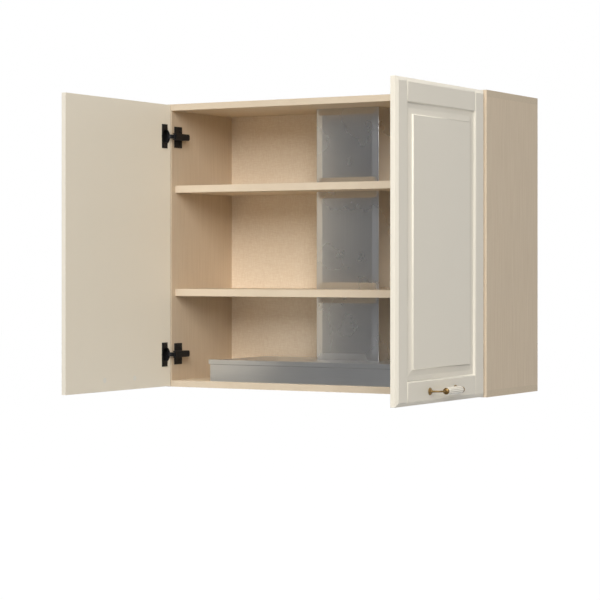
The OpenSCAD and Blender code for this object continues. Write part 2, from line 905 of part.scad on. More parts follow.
// The sloping sides of the routed border, down to the lowest line and flat beyond it
module frame_pocket(w, h) {
    profile = [[0, 0], [frame_foot, frame_slope_d], [valley_line, valley_d]];
    intersection() {
        sunk_profile(w, h, profile);
        translate([0, 0, h]) rotate([0, 90, 0]) sunk_profile(h, w, profile);
    }
}

// The raised field that stays inside the pocket
module raised_field(w, h) {
    deep = valley_d + over;
    outline = [[border, -over], [border, 0], [slope_top, field_slope_d],
        [valley_line, valley_d], [valley_line, deep]];
    intersection() {
        field_profile(w, h, outline);
        translate([0, 0, h]) rotate([0, 90, 0]) field_profile(h, w, outline);
    }
}

module field_profile(w, l, outline) {
    n = len(outline);
    far = [for (i = [n - 1:-1:0]) [w - outline[i][0], outline[i][1]]];
    translate([0, 0, -over]) linear_extrude(l + 2 * over) polygon(concat(outline, far));
}

// The closed left door's slab, with slopes all round its face
module door_slab() {
    s = edge_slope_w;
    d = edge_slope_d;
    across = [[0, d], [s, 0], [door_w - s, 0], [door_w, d], [door_w, door_t], [0, door_t]];
    upright = [[0, d], [s, 0], [door_h - s, 0], [door_h, d], [door_h, door_t], [0, door_t]];
    intersection() {
        translate([0, 0, -over]) linear_extrude(door_h + 2 * over) polygon(across);
        translate([-over, 0, door_h]) rotate([0, 90, 0])
            linear_extrude(door_w + 2 * over) polygon([for (p = upright) [p[0], p[1]]]);
    }
}

module joint_grooves() {
    r = joint_groove_w / 2;
    for (x = [stile_w, door_w - stile_w]) {
        translate([x, 0, -over]) linear_extrude(door_h + 2 * over)
            polygon([[-r, 0], [-r, -over], [r, -over], [r, 0], [0, joint_groove_d]]);
    }
}

// Holes in the closed left door for the handle's screws, with sunk places for heads and caps
module handle_holes() {
    for (dx = [-1, 1]) {
        x = handle_x + dx * handle_pitch / 2;
        rod_y([x, door_face_y - over, handle_axis_z], handle_screw_r + screw_gap, door_t + over);
        rod_y([x, door_back_y - cap_recess, handle_axis_z], cap_r + 0.1, cap_recess + over);
    }
}

module cup_bores() {
    deeper = 0.4;
    at_hinges() {
        rod_y([cup_x, door_back_y - cup_depth - deeper, 0], cup_r + screw_gap,
            cup_depth + deeper + over);
        for (dz = [-1, 1]) {
            rod_y([cup_screw_x, door_back_y - cup_screw_l - screw_gap,
                dz * cup_screw_pitch / 2], cup_screw_r + screw_gap, cup_screw_l + over);
        }
    }
}

module door_panel() {
    w = door_w - 2 * stile_w;
    h = door_h - 2 * stile_w;
    difference() {
        translate([door_x, door_face_y, door_edge_gap]) difference() {
            door_slab();
            joint_grooves();
            translate([stile_w, 0, stile_w]) difference() {
                frame_pocket(w, h);
                raised_field(w, h);
            }
        }
        handle_holes();
        cup_bores();
    }
}

module left_door() {
    color(cream) on_wall() opened() door_panel();
}

module right_door() {
    color(cream) on_wall() mirror([1, 0, 0]) opened() door_panel();
}

// Handles, drawn on the closed left door

// One brass end: rosette, boss, thin arm and the bead that holds the grip
module handle_end() {
    foot = [handle_pitch / 2, door_face_y, 0];
    root = [handle_pitch / 2, door_face_y - rosette_t - boss_h + arm_sunk, 0];
    tip = [bead_x, handle_axis_y + arm_tip_back, 0];
    span = tip - root;
    lean = atan2(span[0], -span[1]);
    difference() {
        union() {
            translate(foot) rotate([90, 0, 0]) cylinder(r = rosette_d / 2, h = rosette_t / 2);
            translate(foot) rotate([90, 0, 0])
                cylinder(r = rosette_d / 2 - rosette_step, h = rosette_t);
            translate(foot) rotate([90, 0, 0]) cylinder(r = boss_r, h = rosette_t + boss_h);
            translate(root) rotate([90, 0, lean]) cylinder(r = handle_arm_d / 2, h = norm(span));
            translate([bead_x, handle_axis_y, 0]) rotate([0, 90, 0]) bead();
        }
        rod_y([handle_pitch / 2, door_face_y - rosette_t - thread_l, 0],
            handle_screw_r + screw_gap, rosette_t + thread_l + over);
        rod_x([grip_l / 2 - over, handle_axis_y, 0], rod_r + screw_gap, over + bead_bore);
    }
}

// A flat bead with a round rim, about Z
module bead() {
    flat = bead_r - bead_round;
    rim = [for (a = [-90:15:90]) [flat, 0] + polar(bead_round, a)];
    rotate_extrude() polygon(concat([[0, -bead_round]], rim, [[0, bead_round]]));
}

module left_handle_place() {
    on_wall() opened() translate([handle_x, 0, handle_axis_z]) children();
}

module right_handle_place() {
    mirror([1, 0, 0]) left_handle_place() children();
}

module left_handle_arms() {
    color(brass) left_handle_place() both_sides() handle_end();
}

module right_handle_arms() {
    color(brass) right_handle_place() both_sides() handle_end();
}

// The barrel-shaped ceramic grip, with a bore for the rod
module handle_grip() {
    r = grip_d / 2;
    l = grip_l / 2;
    bulge = (l * l + (r - grip_end_r) * (r - grip_end_r)) / (2 * (r - grip_end_r));
    steps = 12;
    side = [for (i = [-steps:steps]) let (x = l * i / steps)
        [sqrt(bulge * bulge - x * x) - bulge + r, x]];
    bore = rod_r + screw_gap;
    translate([0, handle_axis_y, 0]) rotate([0, 90, 0]) rotate_extrude()
        polygon(concat([[bore, -l]], side, [[bore, l]]));
}

module left_handle_grip() {
    color(white) left_handle_place() handle_grip();
}

module right_handle_grip() {
    color(white) right_handle_place() handle_grip();
}

module handle_rod() {
    half = grip_l / 2 + bead_bore - rod_end_gap;
    rod_x([-half, handle_axis_y, 0], rod_r, 2 * half);
}

module left_handle_rod() {
    color(zinc) left_handle_place() handle_rod();
}

module right_handle_rod() {
    color(zinc) right_handle_place() handle_rod();
}

module handle_screw() {
    top = door_back_y - cap_recess;
    tip = door_face_y - rosette_t - thread_l + thread_gap;
    rod_y([handle_pitch / 2, tip, 0], handle_screw_r, top - tip);
    rod_y([handle_pitch / 2, top, 0], handle_head_r, handle_head_h);
}

module left_handle_screws() {
    color(zinc) left_handle_place() both_sides() handle_screw();
}

module right_handle_screws() {
    color(zinc) right_handle_place() both_sides() handle_screw();
}

module screw_cap() {
    rod_y([handle_pitch / 2, door_back_y - cap_t, 0], cap_r, cap_t);
}

module left_screw_caps() {
    color(cream) left_handle_place() both_sides() screw_cap();
}

module right_screw_caps() {
    color(cream) right_handle_place() both_sides() screw_cap();
}

// Hood

module hood_body() {
    t = sheet_t;
    color(steel) on_wall() difference() {
        union() {
            difference() {
                block([-hood_x, hood_front_y, board_t], [hood_x, hood_back_y, hood_top]);
                block([-hood_x + t, hood_front_y + t, board_t - over],
                    [hood_x - t, hood_back_y - t, hood_top - t]);
            }
            both_sides() block([-hood_x - hood_flange_w, hood_front_y, board_t],
                [-hood_x, hood_back_y, board_t + t]);
            block([-cover_x, hood_back_y - t, hood_top - t], [cover_x, back_y, hood_top]);
        }
        block([-air_x, air_front_y, hood_top - 2 * t], [air_x, air_back_y, hood_top + over]);
        both_sides() hood_screw_shapes(screw_gap);
        fan_screw_shapes(screw_gap);
    }
}

// The screws on the left of the hood and in its bar, or their holes
module hood_screw_shapes(gap) {
    for (p = hood_screw_points) {
        rod_z([p[0], p[1], board_t - hood_screw_l - gap], hood_screw_r + gap,
            hood_screw_l + p[2] + gap);
    }
}

module hood_screws() {
    color(zinc) on_wall() both_sides() {
        hood_screw_shapes(0);
        for (p = hood_screw_points) {
            rod_z([p[0], p[1], board_t + p[2]], hood_head_r, hood_head_h);
        }
    }
}

// The front bar: a folded channel, open to the back, with a lip along its top
module hood_front_bar() {
    t = bar_t;
    x = bar_w / 2;
    low_x = x - lip_out;
    lip_z = hood_top - lip_h;
    color(steel) on_wall() difference() {
        union() {
            block([-low_x, bar_y + lip_out, board_t], [low_x, hood_front_y, hood_top]);
            block([-x, bar_y, lip_z], [x, hood_front_y, hood_top]);
        }
        block([-low_x + t, bar_y + lip_out + t, board_t + t],
            [low_x - t, hood_front_y + over, hood_top - t]);
        both_sides() hood_screw_shapes(screw_gap);
    }
}

module filter_opening() {
    block([filter_x, filter_front_y - filter_gap, tray_z - over],
        [filter_x + filter_w + 2 * filter_gap, filter_back_y, tray_z + filter_t]);
}

// Two lugs that hold the rear pins of the right filter
module filter_lugs() {
    low = tray_z + sheet_t;
    for (x = [filter_x - lug_w, filter_x + filter_w + 2 * filter_gap]) {
        difference() {
            block([x, filter_pin_y - lug_d / 2, low], [x + lug_w, filter_pin_y + lug_d / 2,
                filter_pin_z + lug_d / 2]);
            rod_x([x - over, filter_pin_y, filter_pin_z], filter_pin_r + pin_gap,
                lug_w + 2 * over);
        }
    }
}

module switch_slot(x, travel) {
    gap = 0.2;
    block([x - stem_w / 2 - gap, switch_y - stem_d / 2 - gap, tray_z - over],
        [x + stem_w / 2 + travel + gap, switch_y + stem_d / 2 + gap, tray_z + sheet_t + over]);
}

// The intake tray, hung by its lip in the cut-out of the bottom board
module hood_tray() {
    t = sheet_t;
    fit = 0.5;
    x = cut_x - fit;
    front = cut_front_y + fit;
    back = cut_back_y - fit;
    lip_top = board_t + t;
    color(steel) on_wall() {
        difference() {
            union() {
                block([-x, front, tray_z], [x, back, lip_top]);
                block([-cut_x - tray_lip, cut_front_y - tray_lip, board_t],
                    [cut_x + tray_lip, cut_back_y + tray_lip, lip_top]);
            }
            block([-x + t, front + t, tray_z + t], [x - t, back - t, lip_top + over]);
            both_sides() filter_opening();
            block([-lens_w / 2, lens_y - lens_d / 2, tray_z - over],
                [lens_w / 2, lens_y + lens_d / 2, tray_z + t + over]);
            switch_slot(fan_switch_x, fan_switch_travel);
            switch_slot(light_switch_x, light_switch_travel);
        }
        both_sides() filter_lugs();
    }
}

// The right filter's frame with its two rear pins
module filter_frame() {
    x = filter_x + filter_gap;
    rim = filter_rim;
    difference() {
        block([x, filter_front_y, tray_z], [x + filter_w, filter_front_y + filter_d,
            tray_z + filter_t]);
        block([x + rim, filter_front_y + rim, tray_z - over], [x + filter_w - rim,
            filter_front_y + filter_d - rim, tray_z + filter_t + over]);
        block([x + rim - filter_lip, filter_front_y + rim - filter_lip, tray_z + 1],
            [x + filter_w - rim + filter_lip, filter_front_y + filter_d - rim + filter_lip,
            tray_z + filter_t + over]);
    }
    rod_x([x - filter_pin_l, filter_pin_y, filter_pin_z], filter_pin_r, filter_pin_l);
    rod_x([x + filter_w, filter_pin_y, filter_pin_z], filter_pin_r, filter_pin_l);
}

module filter_mesh() {
    x = filter_x + filter_gap + filter_rim - filter_lip + 0.2;
    y = filter_front_y + filter_rim - filter_lip + 0.2;
    w = filter_w - 2 * filter_rim + 2 * filter_lip - 0.4;
    d = filter_d - 2 * filter_rim + 2 * filter_lip - 0.4;
    translate([x, y, tray_z + 1]) cube([w, d, mesh_t]);
}

module right_filter_frame() {
    color(zinc) on_wall() filter_frame();
}

module left_filter_frame() {
    color(zinc) on_wall() mirror([1, 0, 0]) filter_frame();
}

module right_filter_mesh() {
    color(zinc) on_wall() filter_mesh();
}

module left_filter_mesh() {
    color(zinc) on_wall() mirror([1, 0, 0]) filter_mesh();
}

module lamp_lens() {
    gap = 0.2;
    z = tray_z + sheet_t;
    color(white) on_wall() {
        block([-lens_w / 2 + gap, lens_y - lens_d / 2 + gap, tray_z],
            [lens_w / 2 - gap, lens_y + lens_d / 2 - gap, z]);
        block([-lens_w / 2 - lens_lip, lens_y - lens_d / 2 - lens_lip, z],
            [lens_w / 2 + lens_lip, lens_y + lens_d / 2 + lens_lip, z + lens_t]);
    }
}

module lamp_board() {
    z = tray_z + sheet_t + lens_t;
    color("green") on_wall() {
        block([-lamp_board_w / 2, lens_y - lamp_board_d / 2, z],
            [lamp_board_w / 2, lens_y + lamp_board_d / 2, z + lamp_board_t]);
        for (i = [0:lamp_count - 1]) {
            rod_z([(i + 0.5) * lamp_pitch - lamp_board_w / 2, lens_y, z + lamp_board_t], lamp_r,
                lamp_h);
        }
    }
}

// A slide switch: knob below the tray, stem through its slot and a plate above
module switch_slide(x) {
    z = tray_z - knob_gap;
    top = tray_z + sheet_t + knob_gap;
    translate([x, switch_y, 0]) {
        block([-knob_w / 2, -knob_d / 2, z - knob_h], [knob_w / 2, knob_d / 2, z]);
        block([-stem_w / 2, -stem_d / 2, z], [stem_w / 2, stem_d / 2, top]);
        block([-knob_w / 2, -knob_d / 2 + 1, top], [knob_w / 2, knob_d / 2 - 1,
            top + slide_plate_h]);
    }
}

module fan_switch() {
    color(black) on_wall() switch_slide(fan_switch_x);
}

module light_switch() {
    color(black) on_wall() switch_slide(light_switch_x);
}

// Fan and duct

module fan_housing() {
    half = scroll_w / 2;
    t = scroll_t;
    foot_y = fan_foot_w / 2;
    color(steel_dark) on_wall() {
        difference() {
            union() {
                rod_x([-half, duct_y, fan_z], scroll_r, scroll_w);
                rod_z([0, duct_y, spigot_foot], spigot_r, spigot_top - spigot_foot);
                rod_z([0, duct_y, pipe_bottom - pipe_stop_t], pipe_r + pipe_stop_out,
                    pipe_stop_t);
                for (s = [-1, 1]) {
                    x = s * (half - t / 2);
                    block([x - t / 2, duct_y - foot_y, hood_top], [x + t / 2, duct_y + foot_y,
                        fan_z]);
                }
            }
            rod_x([-half + t, duct_y, fan_z], scroll_r - t, scroll_w - 2 * t);
            rod_z([0, duct_y, spigot_foot + t], spigot_r - t, spigot_top - spigot_foot);
            rod_x([-half - over, duct_y, fan_z], inlet_r, scroll_w + 2 * over);
            fan_screw_shapes(screw_gap);
        }
        difference() {
            block([-cover_x + fan_base_side, fan_base_front_y, hood_top],
                [cover_x - fan_base_side, fan_base_back_y, hood_top + fan_base_t]);
            block([-half + t, air_front_y, hood_top - over], [half - t, air_back_y,
                hood_top + fan_base_t + over]);
            for (s = [-1, 1]) {
                side = s * (half + air_x) / 2;
                hole = (air_x - half) / 2 - 0.5;
                block([side - hole, air_front_y, hood_top - over], [side + hole, air_back_y,
                    hood_top + fan_base_t + over]);
            }
            fan_screw_shapes(screw_gap);
        }
    }
}

// A copy for each of the four screws that hold the housing on the hood
module at_base_screws() {
    both_sides() for (y = fan_screw_ys) {
        translate([fan_screw_side - cover_x, y, 0]) children();
    }
}

// A copy for each of the three screws that hold the bracket on the housing
module at_bracket_screws() {
    for (a = bracket_screw_turns) {
        p = polar(bracket_mid_r, a);
        translate([-scroll_w / 2, duct_y + p[0], fan_z + p[1]]) children();
    }
}

// Screws that hold the housing on the hood and the bracket on the housing, or their holes
module fan_screw_shapes(gap) {
    past = sheet_t + fan_screw_past + gap;
    at_base_screws() rod_z([0, 0, hood_top - past], fan_screw_r + gap, past + fan_base_t);
    at_bracket_screws() rod_x([-bracket_t, 0, 0], fan_screw_r + gap, bracket_t + scroll_t + gap);
}

module fan_screws() {
    color(zinc) on_wall() {
        fan_screw_shapes(0);
        at_base_screws() rod_z([0, 0, hood_top + fan_base_t], fan_head_r, fan_head_h);
        at_bracket_screws() rod_x([-bracket_t - fan_head_h, 0, 0], fan_head_r, fan_head_h);
    }
}

module fan_motor() {
    color(black) on_wall() difference() {
        rod_x([motor_x - motor_l, duct_y, fan_z], motor_r, motor_l);
        rod_x([motor_x - shaft_hold, duct_y, fan_z], shaft_r + pin_gap, shaft_hold + over);
    }
}

// A ring on the scroll's left inlet with three arms that hold the motor
module motor_bracket() {
    t = bracket_t;
    x = -scroll_w / 2 - t;
    hold_r = motor_r + screw_gap;
    color(zinc) on_wall() difference() {
        translate([x, duct_y, fan_z]) rotate([0, 90, 0]) bracket_shape(t, hold_r);
        fan_screw_shapes(screw_gap);
    }
}

module bracket_shape(t, hold_r) {
    union() {
        difference() {
            cylinder(r = bracket_r, h = t);
            translate([0, 0, -over]) cylinder(r = inlet_r, h = t + 2 * over);
        }
        difference() {
            union() {
                cylinder(r = hold_r + bracket_hub, h = t);
                for (a = bracket_arm_turns) {
                    rotate([0, 0, a]) translate([hold_r, -bracket_arm_w / 2, 0])
                        cube([bracket_mid_r - hold_r, bracket_arm_w, t]);
                }
            }
            translate([0, 0, -over]) cylinder(r = hold_r, h = t + 2 * over);
        }
    }
}

// The wheel: a disc on its shaft, with blades between the disc and two end rings
module fan_wheel() {
    r = wheel_d / 2;
    half = wheel_w / 2;
    blade_t = 0.8;
    ring_t = 2;
    shaft_l = hub_r - motor_x + shaft_hold - 0.5;
    color(white) on_wall() translate([0, duct_y, fan_z]) rotate([0, 90, 0]) {
        translate([0, 0, -ring_t / 2]) cylinder(r = r - 1, h = ring_t);
        translate([0, 0, -hub_r]) cylinder(r = hub_r, h = 2 * hub_r);
        translate([0, 0, motor_x - shaft_hold + 0.5]) cylinder(r = shaft_r, h = shaft_l);
        for (z = [-half, half - ring_t]) {
            translate([0, 0, z]) difference() {
                cylinder(r = r, h = ring_t);
                translate([0, 0, -over]) cylinder(r = r - wheel_ring, h = ring_t + 2 * over);
            }
        }
        for (i = [0:blade_count - 1]) {
            rotate([0, 0, i * 360 / blade_count]) translate([r - wheel_ring, -blade_t / 2, -half])
                cube([wheel_ring - 1, blade_t, wheel_w]);
        }
    }
}

module duct_pipe() {
    top = cab_h - collar_depth - 1;
    color(steel) on_wall() difference() {
        rod_z([0, duct_y, pipe_bottom], pipe_r, top - pipe_bottom);
        rod_z([0, duct_y, pipe_bottom - over], pipe_r - pipe_wall, top - pipe_bottom + 2 * over);
    }
}

// The collar in the top board: a wide socket for the house's duct above, the pipe below
module outlet_collar() {
    pipe_fit = pipe_r + seat_gap;
    step = -collar_depth;
    bottom = step - collar_socket;
    profile = [[pipe_fit, bottom], [collar_r, bottom], [collar_r, 0], [collar_flange_r, 0],
        [collar_flange_r, collar_wall], [collar_r, collar_wall], [collar_r, collar_above],
        [outlet_r, collar_above], [outlet_r, step], [pipe_fit, step]];
    color(steel) on_wall() translate([0, duct_y, cab_h]) rotate_extrude() polygon(profile);
}

// A cover's outer or inner form: a box whose front has sloping borders, sunk by t
module cover_form(z0, z1, t) {
    b = border_w;
    d = border_d;
    y = cover_y + t;
    x = cover_x - t;
    low = z0 - (t > 0 ? over : 0);
    high = z1 + (t > 0 ? over : 0);
    end = t > 0 ? t : 0;
    plan = [[-x, y + d], [-x + b - end, y], [x - b + end, y], [x, y + d], [x, back_y + t],
        [-x, back_y + t]];
    rise = [[y + d, z0], [y, z0 + b], [y, z1 - b], [y + d, z1], [y + d, high],
        [back_y + t, high], [back_y + t, low], [y + d, low]];
    intersection() {
        translate([0, 0, low]) linear_extrude(high - low) polygon(plan);
        translate([-cover_x, 0, 0]) rotate([90, 0, 90]) linear_extrude(cover_w) polygon(rise);
    }
}

module duct_cover(span) {
    z0 = span[0];
    z1 = span[1];
    difference() {
        union() {
            difference() {
                cover_form(z0, z1, 0);
                cover_form(z0, z1, cover_t);
            }
            both_sides() block([-cover_x + cover_t, back_y - cover_t, z0],
                [-cover_x + cover_foot, back_y, z1]);
        }
        cover_screw_shapes(screw_gap);
    }
}

module lower_duct_cover() {
    color(steel_dark) on_wall() duct_cover(cover_spans[0]);
}

module middle_duct_cover() {
    color(steel_dark) on_wall() duct_cover(cover_spans[1]);
}

module upper_duct_cover() {
    color(steel_dark) on_wall() duct_cover(cover_spans[2]);
}

// A copy for each cover screw, on the front of the back panel
module at_cover_screws() {
    both_sides() for (span = cover_spans) {
        for (z = [span[0] + cover_screw_inset, span[1] - cover_screw_inset]) {
            translate([cover_screw_x, back_y, z]) children();
        }
    }
}

// Four screws a cover, driven from behind the back panel, or their holes
module cover_screw_shapes(gap) {
    at_cover_screws() rod_y([0, -cover_t - gap, 0], cover_screw_r + gap,
        cover_t + back_t + 2 * gap);
}

module cover_screws() {
    color(zinc) on_wall() {
        cover_screw_shapes(0);
        at_cover_screws() rod_y([0, back_t, 0], cover_head_r, cover_head_h);
    }
}

left_side_panel();
right_side_panel();
top_panel();
bottom_panel();
back_panel();
upper_shelf();
lower_shelf();
carcass_edge_bands();
shelf_edge_bands();
shelf_pins();
carcass_screws();
dowels();
hanging_plates();
hanging_plate_screws();
hinge_plates();
hinge_arms();
hinge_plate_screws();
left_door();
right_door();
left_hinge_cups();
right_hinge_cups();
left_cup_screws();
right_cup_screws();
left_cup_pins();
right_cup_pins();
left_hinge_links();
right_hinge_links();
left_handle_arms();
right_handle_arms();
left_handle_grip();
right_handle_grip();
left_handle_rod();
right_handle_rod();
left_handle_screws();
right_handle_screws();
left_screw_caps();
right_screw_caps();
hood_body();
hood_front_bar();
hood_tray();
hood_screws();
left_filter_frame();
right_filter_frame();
left_filter_mesh();
right_filter_mesh();
lamp_lens();
lamp_board();
fan_switch();
light_switch();
fan_housing();
fan_motor();
motor_bracket();
fan_wheel();
fan_screws();
duct_pipe();
outlet_collar();
lower_duct_cover();
middle_duct_cover();
upper_duct_cover();
cover_screws();
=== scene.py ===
# %% [markdown]
# # A kitchen wall cabinet with a built-in cooker hood
#
# The CAD model already has every board, hinge and duct in its real size. This lesson
# dresses it: it sets the camera and the studio, builds the finishes from nodes, and puts
# finer surfaces where the plain solids are too sharp or too simple, such as the pressed
# duct covers, the turned handles and the grease filters.

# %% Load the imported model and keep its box
import bpy
import bmesh
import json
import math
import numpy as np
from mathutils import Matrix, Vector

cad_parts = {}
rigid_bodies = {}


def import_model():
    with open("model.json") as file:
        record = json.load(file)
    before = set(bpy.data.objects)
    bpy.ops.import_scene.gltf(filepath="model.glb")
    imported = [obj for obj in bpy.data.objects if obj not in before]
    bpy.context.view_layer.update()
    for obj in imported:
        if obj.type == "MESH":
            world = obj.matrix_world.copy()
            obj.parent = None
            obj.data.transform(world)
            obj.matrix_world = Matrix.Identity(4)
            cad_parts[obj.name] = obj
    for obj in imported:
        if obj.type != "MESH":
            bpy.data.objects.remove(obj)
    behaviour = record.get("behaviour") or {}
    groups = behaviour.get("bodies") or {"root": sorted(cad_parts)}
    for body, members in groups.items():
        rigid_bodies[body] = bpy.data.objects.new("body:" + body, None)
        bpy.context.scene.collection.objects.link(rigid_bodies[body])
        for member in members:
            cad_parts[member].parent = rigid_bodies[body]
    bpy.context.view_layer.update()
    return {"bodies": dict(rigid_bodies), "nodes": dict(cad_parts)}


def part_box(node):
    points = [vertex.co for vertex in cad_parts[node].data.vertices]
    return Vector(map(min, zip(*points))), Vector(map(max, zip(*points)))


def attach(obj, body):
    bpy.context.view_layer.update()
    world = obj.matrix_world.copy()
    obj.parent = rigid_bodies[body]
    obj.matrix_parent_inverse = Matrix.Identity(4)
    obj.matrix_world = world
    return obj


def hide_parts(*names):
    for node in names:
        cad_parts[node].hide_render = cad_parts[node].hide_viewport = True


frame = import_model()
nodes = frame["nodes"]
scene = bpy.context.scene

# %% [markdown]
# The photograph was taken from the right, nearly level with the cabinet's middle, with a
# long lens. The camera's place and focal length come from fitting the corners of the boards and
# doors to the picture. A small vertical shift keeps the uprights parallel, as a
# photographer does with a shift lens, because tilting the camera would make them lean.

# %% The camera
CABINET_DEPTH, HANGING_HEIGHT = 0.295, 0.660
TURN = math.radians(30.16)
FOCAL_PIXELS, IMAGE, HORIZON_ROW = 2089.216, 600, 266.75
SENSOR_MM = 36
eye = (2.52775, -4.44451 - CABINET_DEPTH, 0.30573 - HANGING_HEIGHT)

camera = bpy.data.objects.new("camera", bpy.data.cameras.new("camera"))
scene.collection.objects.link(camera)
camera.location = eye
camera.rotation_euler = (math.pi / 2, 0, TURN)
camera.data.sensor_width = SENSOR_MM
camera.data.lens = FOCAL_PIXELS / IMAGE * SENSOR_MM
camera.data.shift_y = (HORIZON_ROW - IMAGE / 2) / IMAGE
camera.data.clip_end = 60
scene.camera = camera
print("lens", round(camera.data.lens, 1), "mm, shift", round(camera.data.shift_y, 4))

# %% [markdown]
# The studio is a pale floor and a sky of even light. A camera ray sees both of them white,
# which is the plain background of a catalogue picture, and no lamp has to make it. Metal and
# glass see that white only behind the object. Towards the front they see the dim room that
# the lamps stand in, which gives brushed steel its grey. Both materials need the same
# choice, so one helper builds it.

# %% The sky
scene.view_settings.view_transform = "Standard"
ROOM_LIGHT = 0.15
world = bpy.data.worlds.new("studio")
scene.world = world
world.use_nodes = True
sky = world.node_tree
sky.nodes.clear()


def add(tree, kind, **values):
    """Adds a node and sets its properties and, by input name, its unlinked sockets."""
    node = tree.nodes.new(kind)
    for name, value in values.items():
        if hasattr(node, name):
            setattr(node, name, value)
        else:
            node.inputs[name.replace("_", " ")].default_value = value
    return node


def white_share(tree, place, start, end):
    """How much of the white background a ray sees, as a socket.

    It is max(camera, max(glossy, transmission) * rise), where the rise goes from 0 to 1
    while Y of the place goes from start to end, so mirrors see the white only behind.
    """
    parts = add(tree, "ShaderNodeSeparateXYZ")
    behind = add(tree, "ShaderNodeMapRange", clamp=True, From_Min=start, From_Max=end)
    ray = add(tree, "ShaderNodeLightPath")
    mirror_rays = add(tree, "ShaderNodeMath", operation="MAXIMUM")
    backed = add(tree, "ShaderNodeMath", operation="MULTIPLY")
    seen = add(tree, "ShaderNodeMath", operation="MAXIMUM")
    tree.links.new(place, parts.inputs[0])
    tree.links.new(parts.outputs["Y"], behind.inputs["Value"])
    tree.links.new(ray.outputs["Is Glossy Ray"], mirror_rays.inputs[0])
    tree.links.new(ray.outputs["Is Transmission Ray"], mirror_rays.inputs[1])
    tree.links.new(mirror_rays.outputs[0], backed.inputs[0])
    tree.links.new(behind.outputs[0], backed.inputs[1])
    tree.links.new(backed.outputs[0], seen.inputs[0])
    tree.links.new(ray.outputs["Is Camera Ray"], seen.inputs[1])
    return seen.outputs[0]


def mixed_shader(tree, share, first, second):
    """Mixes the outputs of two shader nodes by the share of the second."""
    node = add(tree, "ShaderNodeMixShader")
    tree.links.new(share, node.inputs[0])
    tree.links.new(first.outputs[0], node.inputs[1])
    tree.links.new(second.outputs[0], node.inputs[2])
    return node


direction = add(sky, "ShaderNodeTexCoord")
room = add(sky, "ShaderNodeBackground", Color=(1, 1, 1, 1), Strength=ROOM_LIGHT)
white = add(sky, "ShaderNodeBackground", Color=(1, 1, 1, 1), Strength=1.0)
share = white_share(sky, direction.outputs["Generated"], start=-0.1, end=0.2)
out = add(sky, "ShaderNodeOutputWorld")
sky.links.new(mixed_shader(sky, share, room, white).outputs[0], out.inputs["Surface"])
print("sky:", len(sky.nodes), "nodes, room light", ROOM_LIGHT)

# %% [markdown]
# Three large soft lamps light the cabinet: the key in front and to the right, a weak one
# beside the camera, and one overhead. A lamp near a tall object lights its top more than its
# foot. These stand seven metres away, so the doors are even from top to bottom as in the
# photograph, and their size keeps the shadows in the compartments soft.


# %% The lamps
def lamp(name, place, target, size, power):
    """A square soft white lamp at a place, turned to face a target."""
    data = bpy.data.lights.new(name, "AREA")
    data.shape = "SQUARE"
    data.size, data.energy = size, power
    obj = bpy.data.objects.new(name, data)
    scene.collection.objects.link(obj)
    obj.location = place
    way = np.subtract(target, place)
    flat = math.hypot(way[0], way[1])
    obj.rotation_euler = (math.pi / 2 + math.atan2(way[2], flat), 0,
                          math.atan2(-way[0], way[1]))
    return obj


CENTRE = (0, -0.3, -0.3)
key = lamp("key lamp", (3.6, -7.35, 3.3), CENTRE, size=4.6, power=570)
fill = lamp("camera lamp", (5.1, -5.7, 1.6), CENTRE, size=2.9, power=30)
top = lamp("top lamp", (0.15, -1.75, 6.6), CENTRE, size=3.5, power=235)
print("lamps:", {light.name: light.data.energy for light in (key, fill, top)})

# %% [markdown]
# The floor lies well below, since a wall cabinet hangs at the height of the eyes. It is a
# mid grey to all light that falls on it, so it doesn't brighten the boards from below, and
# nearly white to the camera, with a little of the grey left to carry the shadow. From
# underneath it is clear, so that a camera below it still sees the hood.

# %% The floor
FLOOR_Z, REACH = -1.75, 30
FLOOR_GREY, FLOOR_WHITE, MOSTLY = 0.4, 1.07, 0.93
floor_mesh = bpy.data.meshes.new("floor")
floor_mesh.from_pydata([(-REACH, -REACH, FLOOR_Z), (REACH, -REACH, FLOOR_Z),
                        (REACH, REACH, FLOOR_Z), (-REACH, REACH, FLOOR_Z)], [], [(0, 1, 2, 3)])
floor = bpy.data.objects.new("floor", floor_mesh)
scene.collection.objects.link(floor)
floor_finish = bpy.data.materials.new("floor paint")
floor_finish.use_nodes = True
tree = floor_finish.node_tree
tree.nodes.clear()
paint = add(tree, "ShaderNodeBsdfDiffuse", Color=(FLOOR_GREY, FLOOR_GREY, FLOOR_GREY, 1))
glow = add(tree, "ShaderNodeEmission", Strength=FLOOR_WHITE)
clear = add(tree, "ShaderNodeBsdfTransparent")
place = add(tree, "ShaderNodeTexCoord")
side = add(tree, "ShaderNodeNewGeometry")
mostly = add(tree, "ShaderNodeMath", operation="MULTIPLY")
mostly.inputs[1].default_value = MOSTLY
seen_white = white_share(tree, place.outputs["Object"], start=-0.3, end=0.5)
tree.links.new(seen_white, mostly.inputs[0])
from_above = mixed_shader(tree, mostly.outputs[0], paint, glow)
one_way = mixed_shader(tree, side.outputs["Backfacing"], from_above, clear)
out = add(tree, "ShaderNodeOutputMaterial")
tree.links.new(one_way.outputs[0], out.inputs["Surface"])
floor_mesh.materials.append(floor_finish)
print("floor at", FLOOR_Z)

# %% [markdown]
# Real boards, films and paints are never one flat colour. Picture textures could show that,
# but they blur from close by and repeat. Noise that is worked out at each point doesn't.
# Several finishes share two such effects, so each is a node group: the printed grain of the
# decor boards, and a soft unevenness for everything. A group only hands out colours and
# numbers. The shader stays in the material, where its constant values are on its sockets.


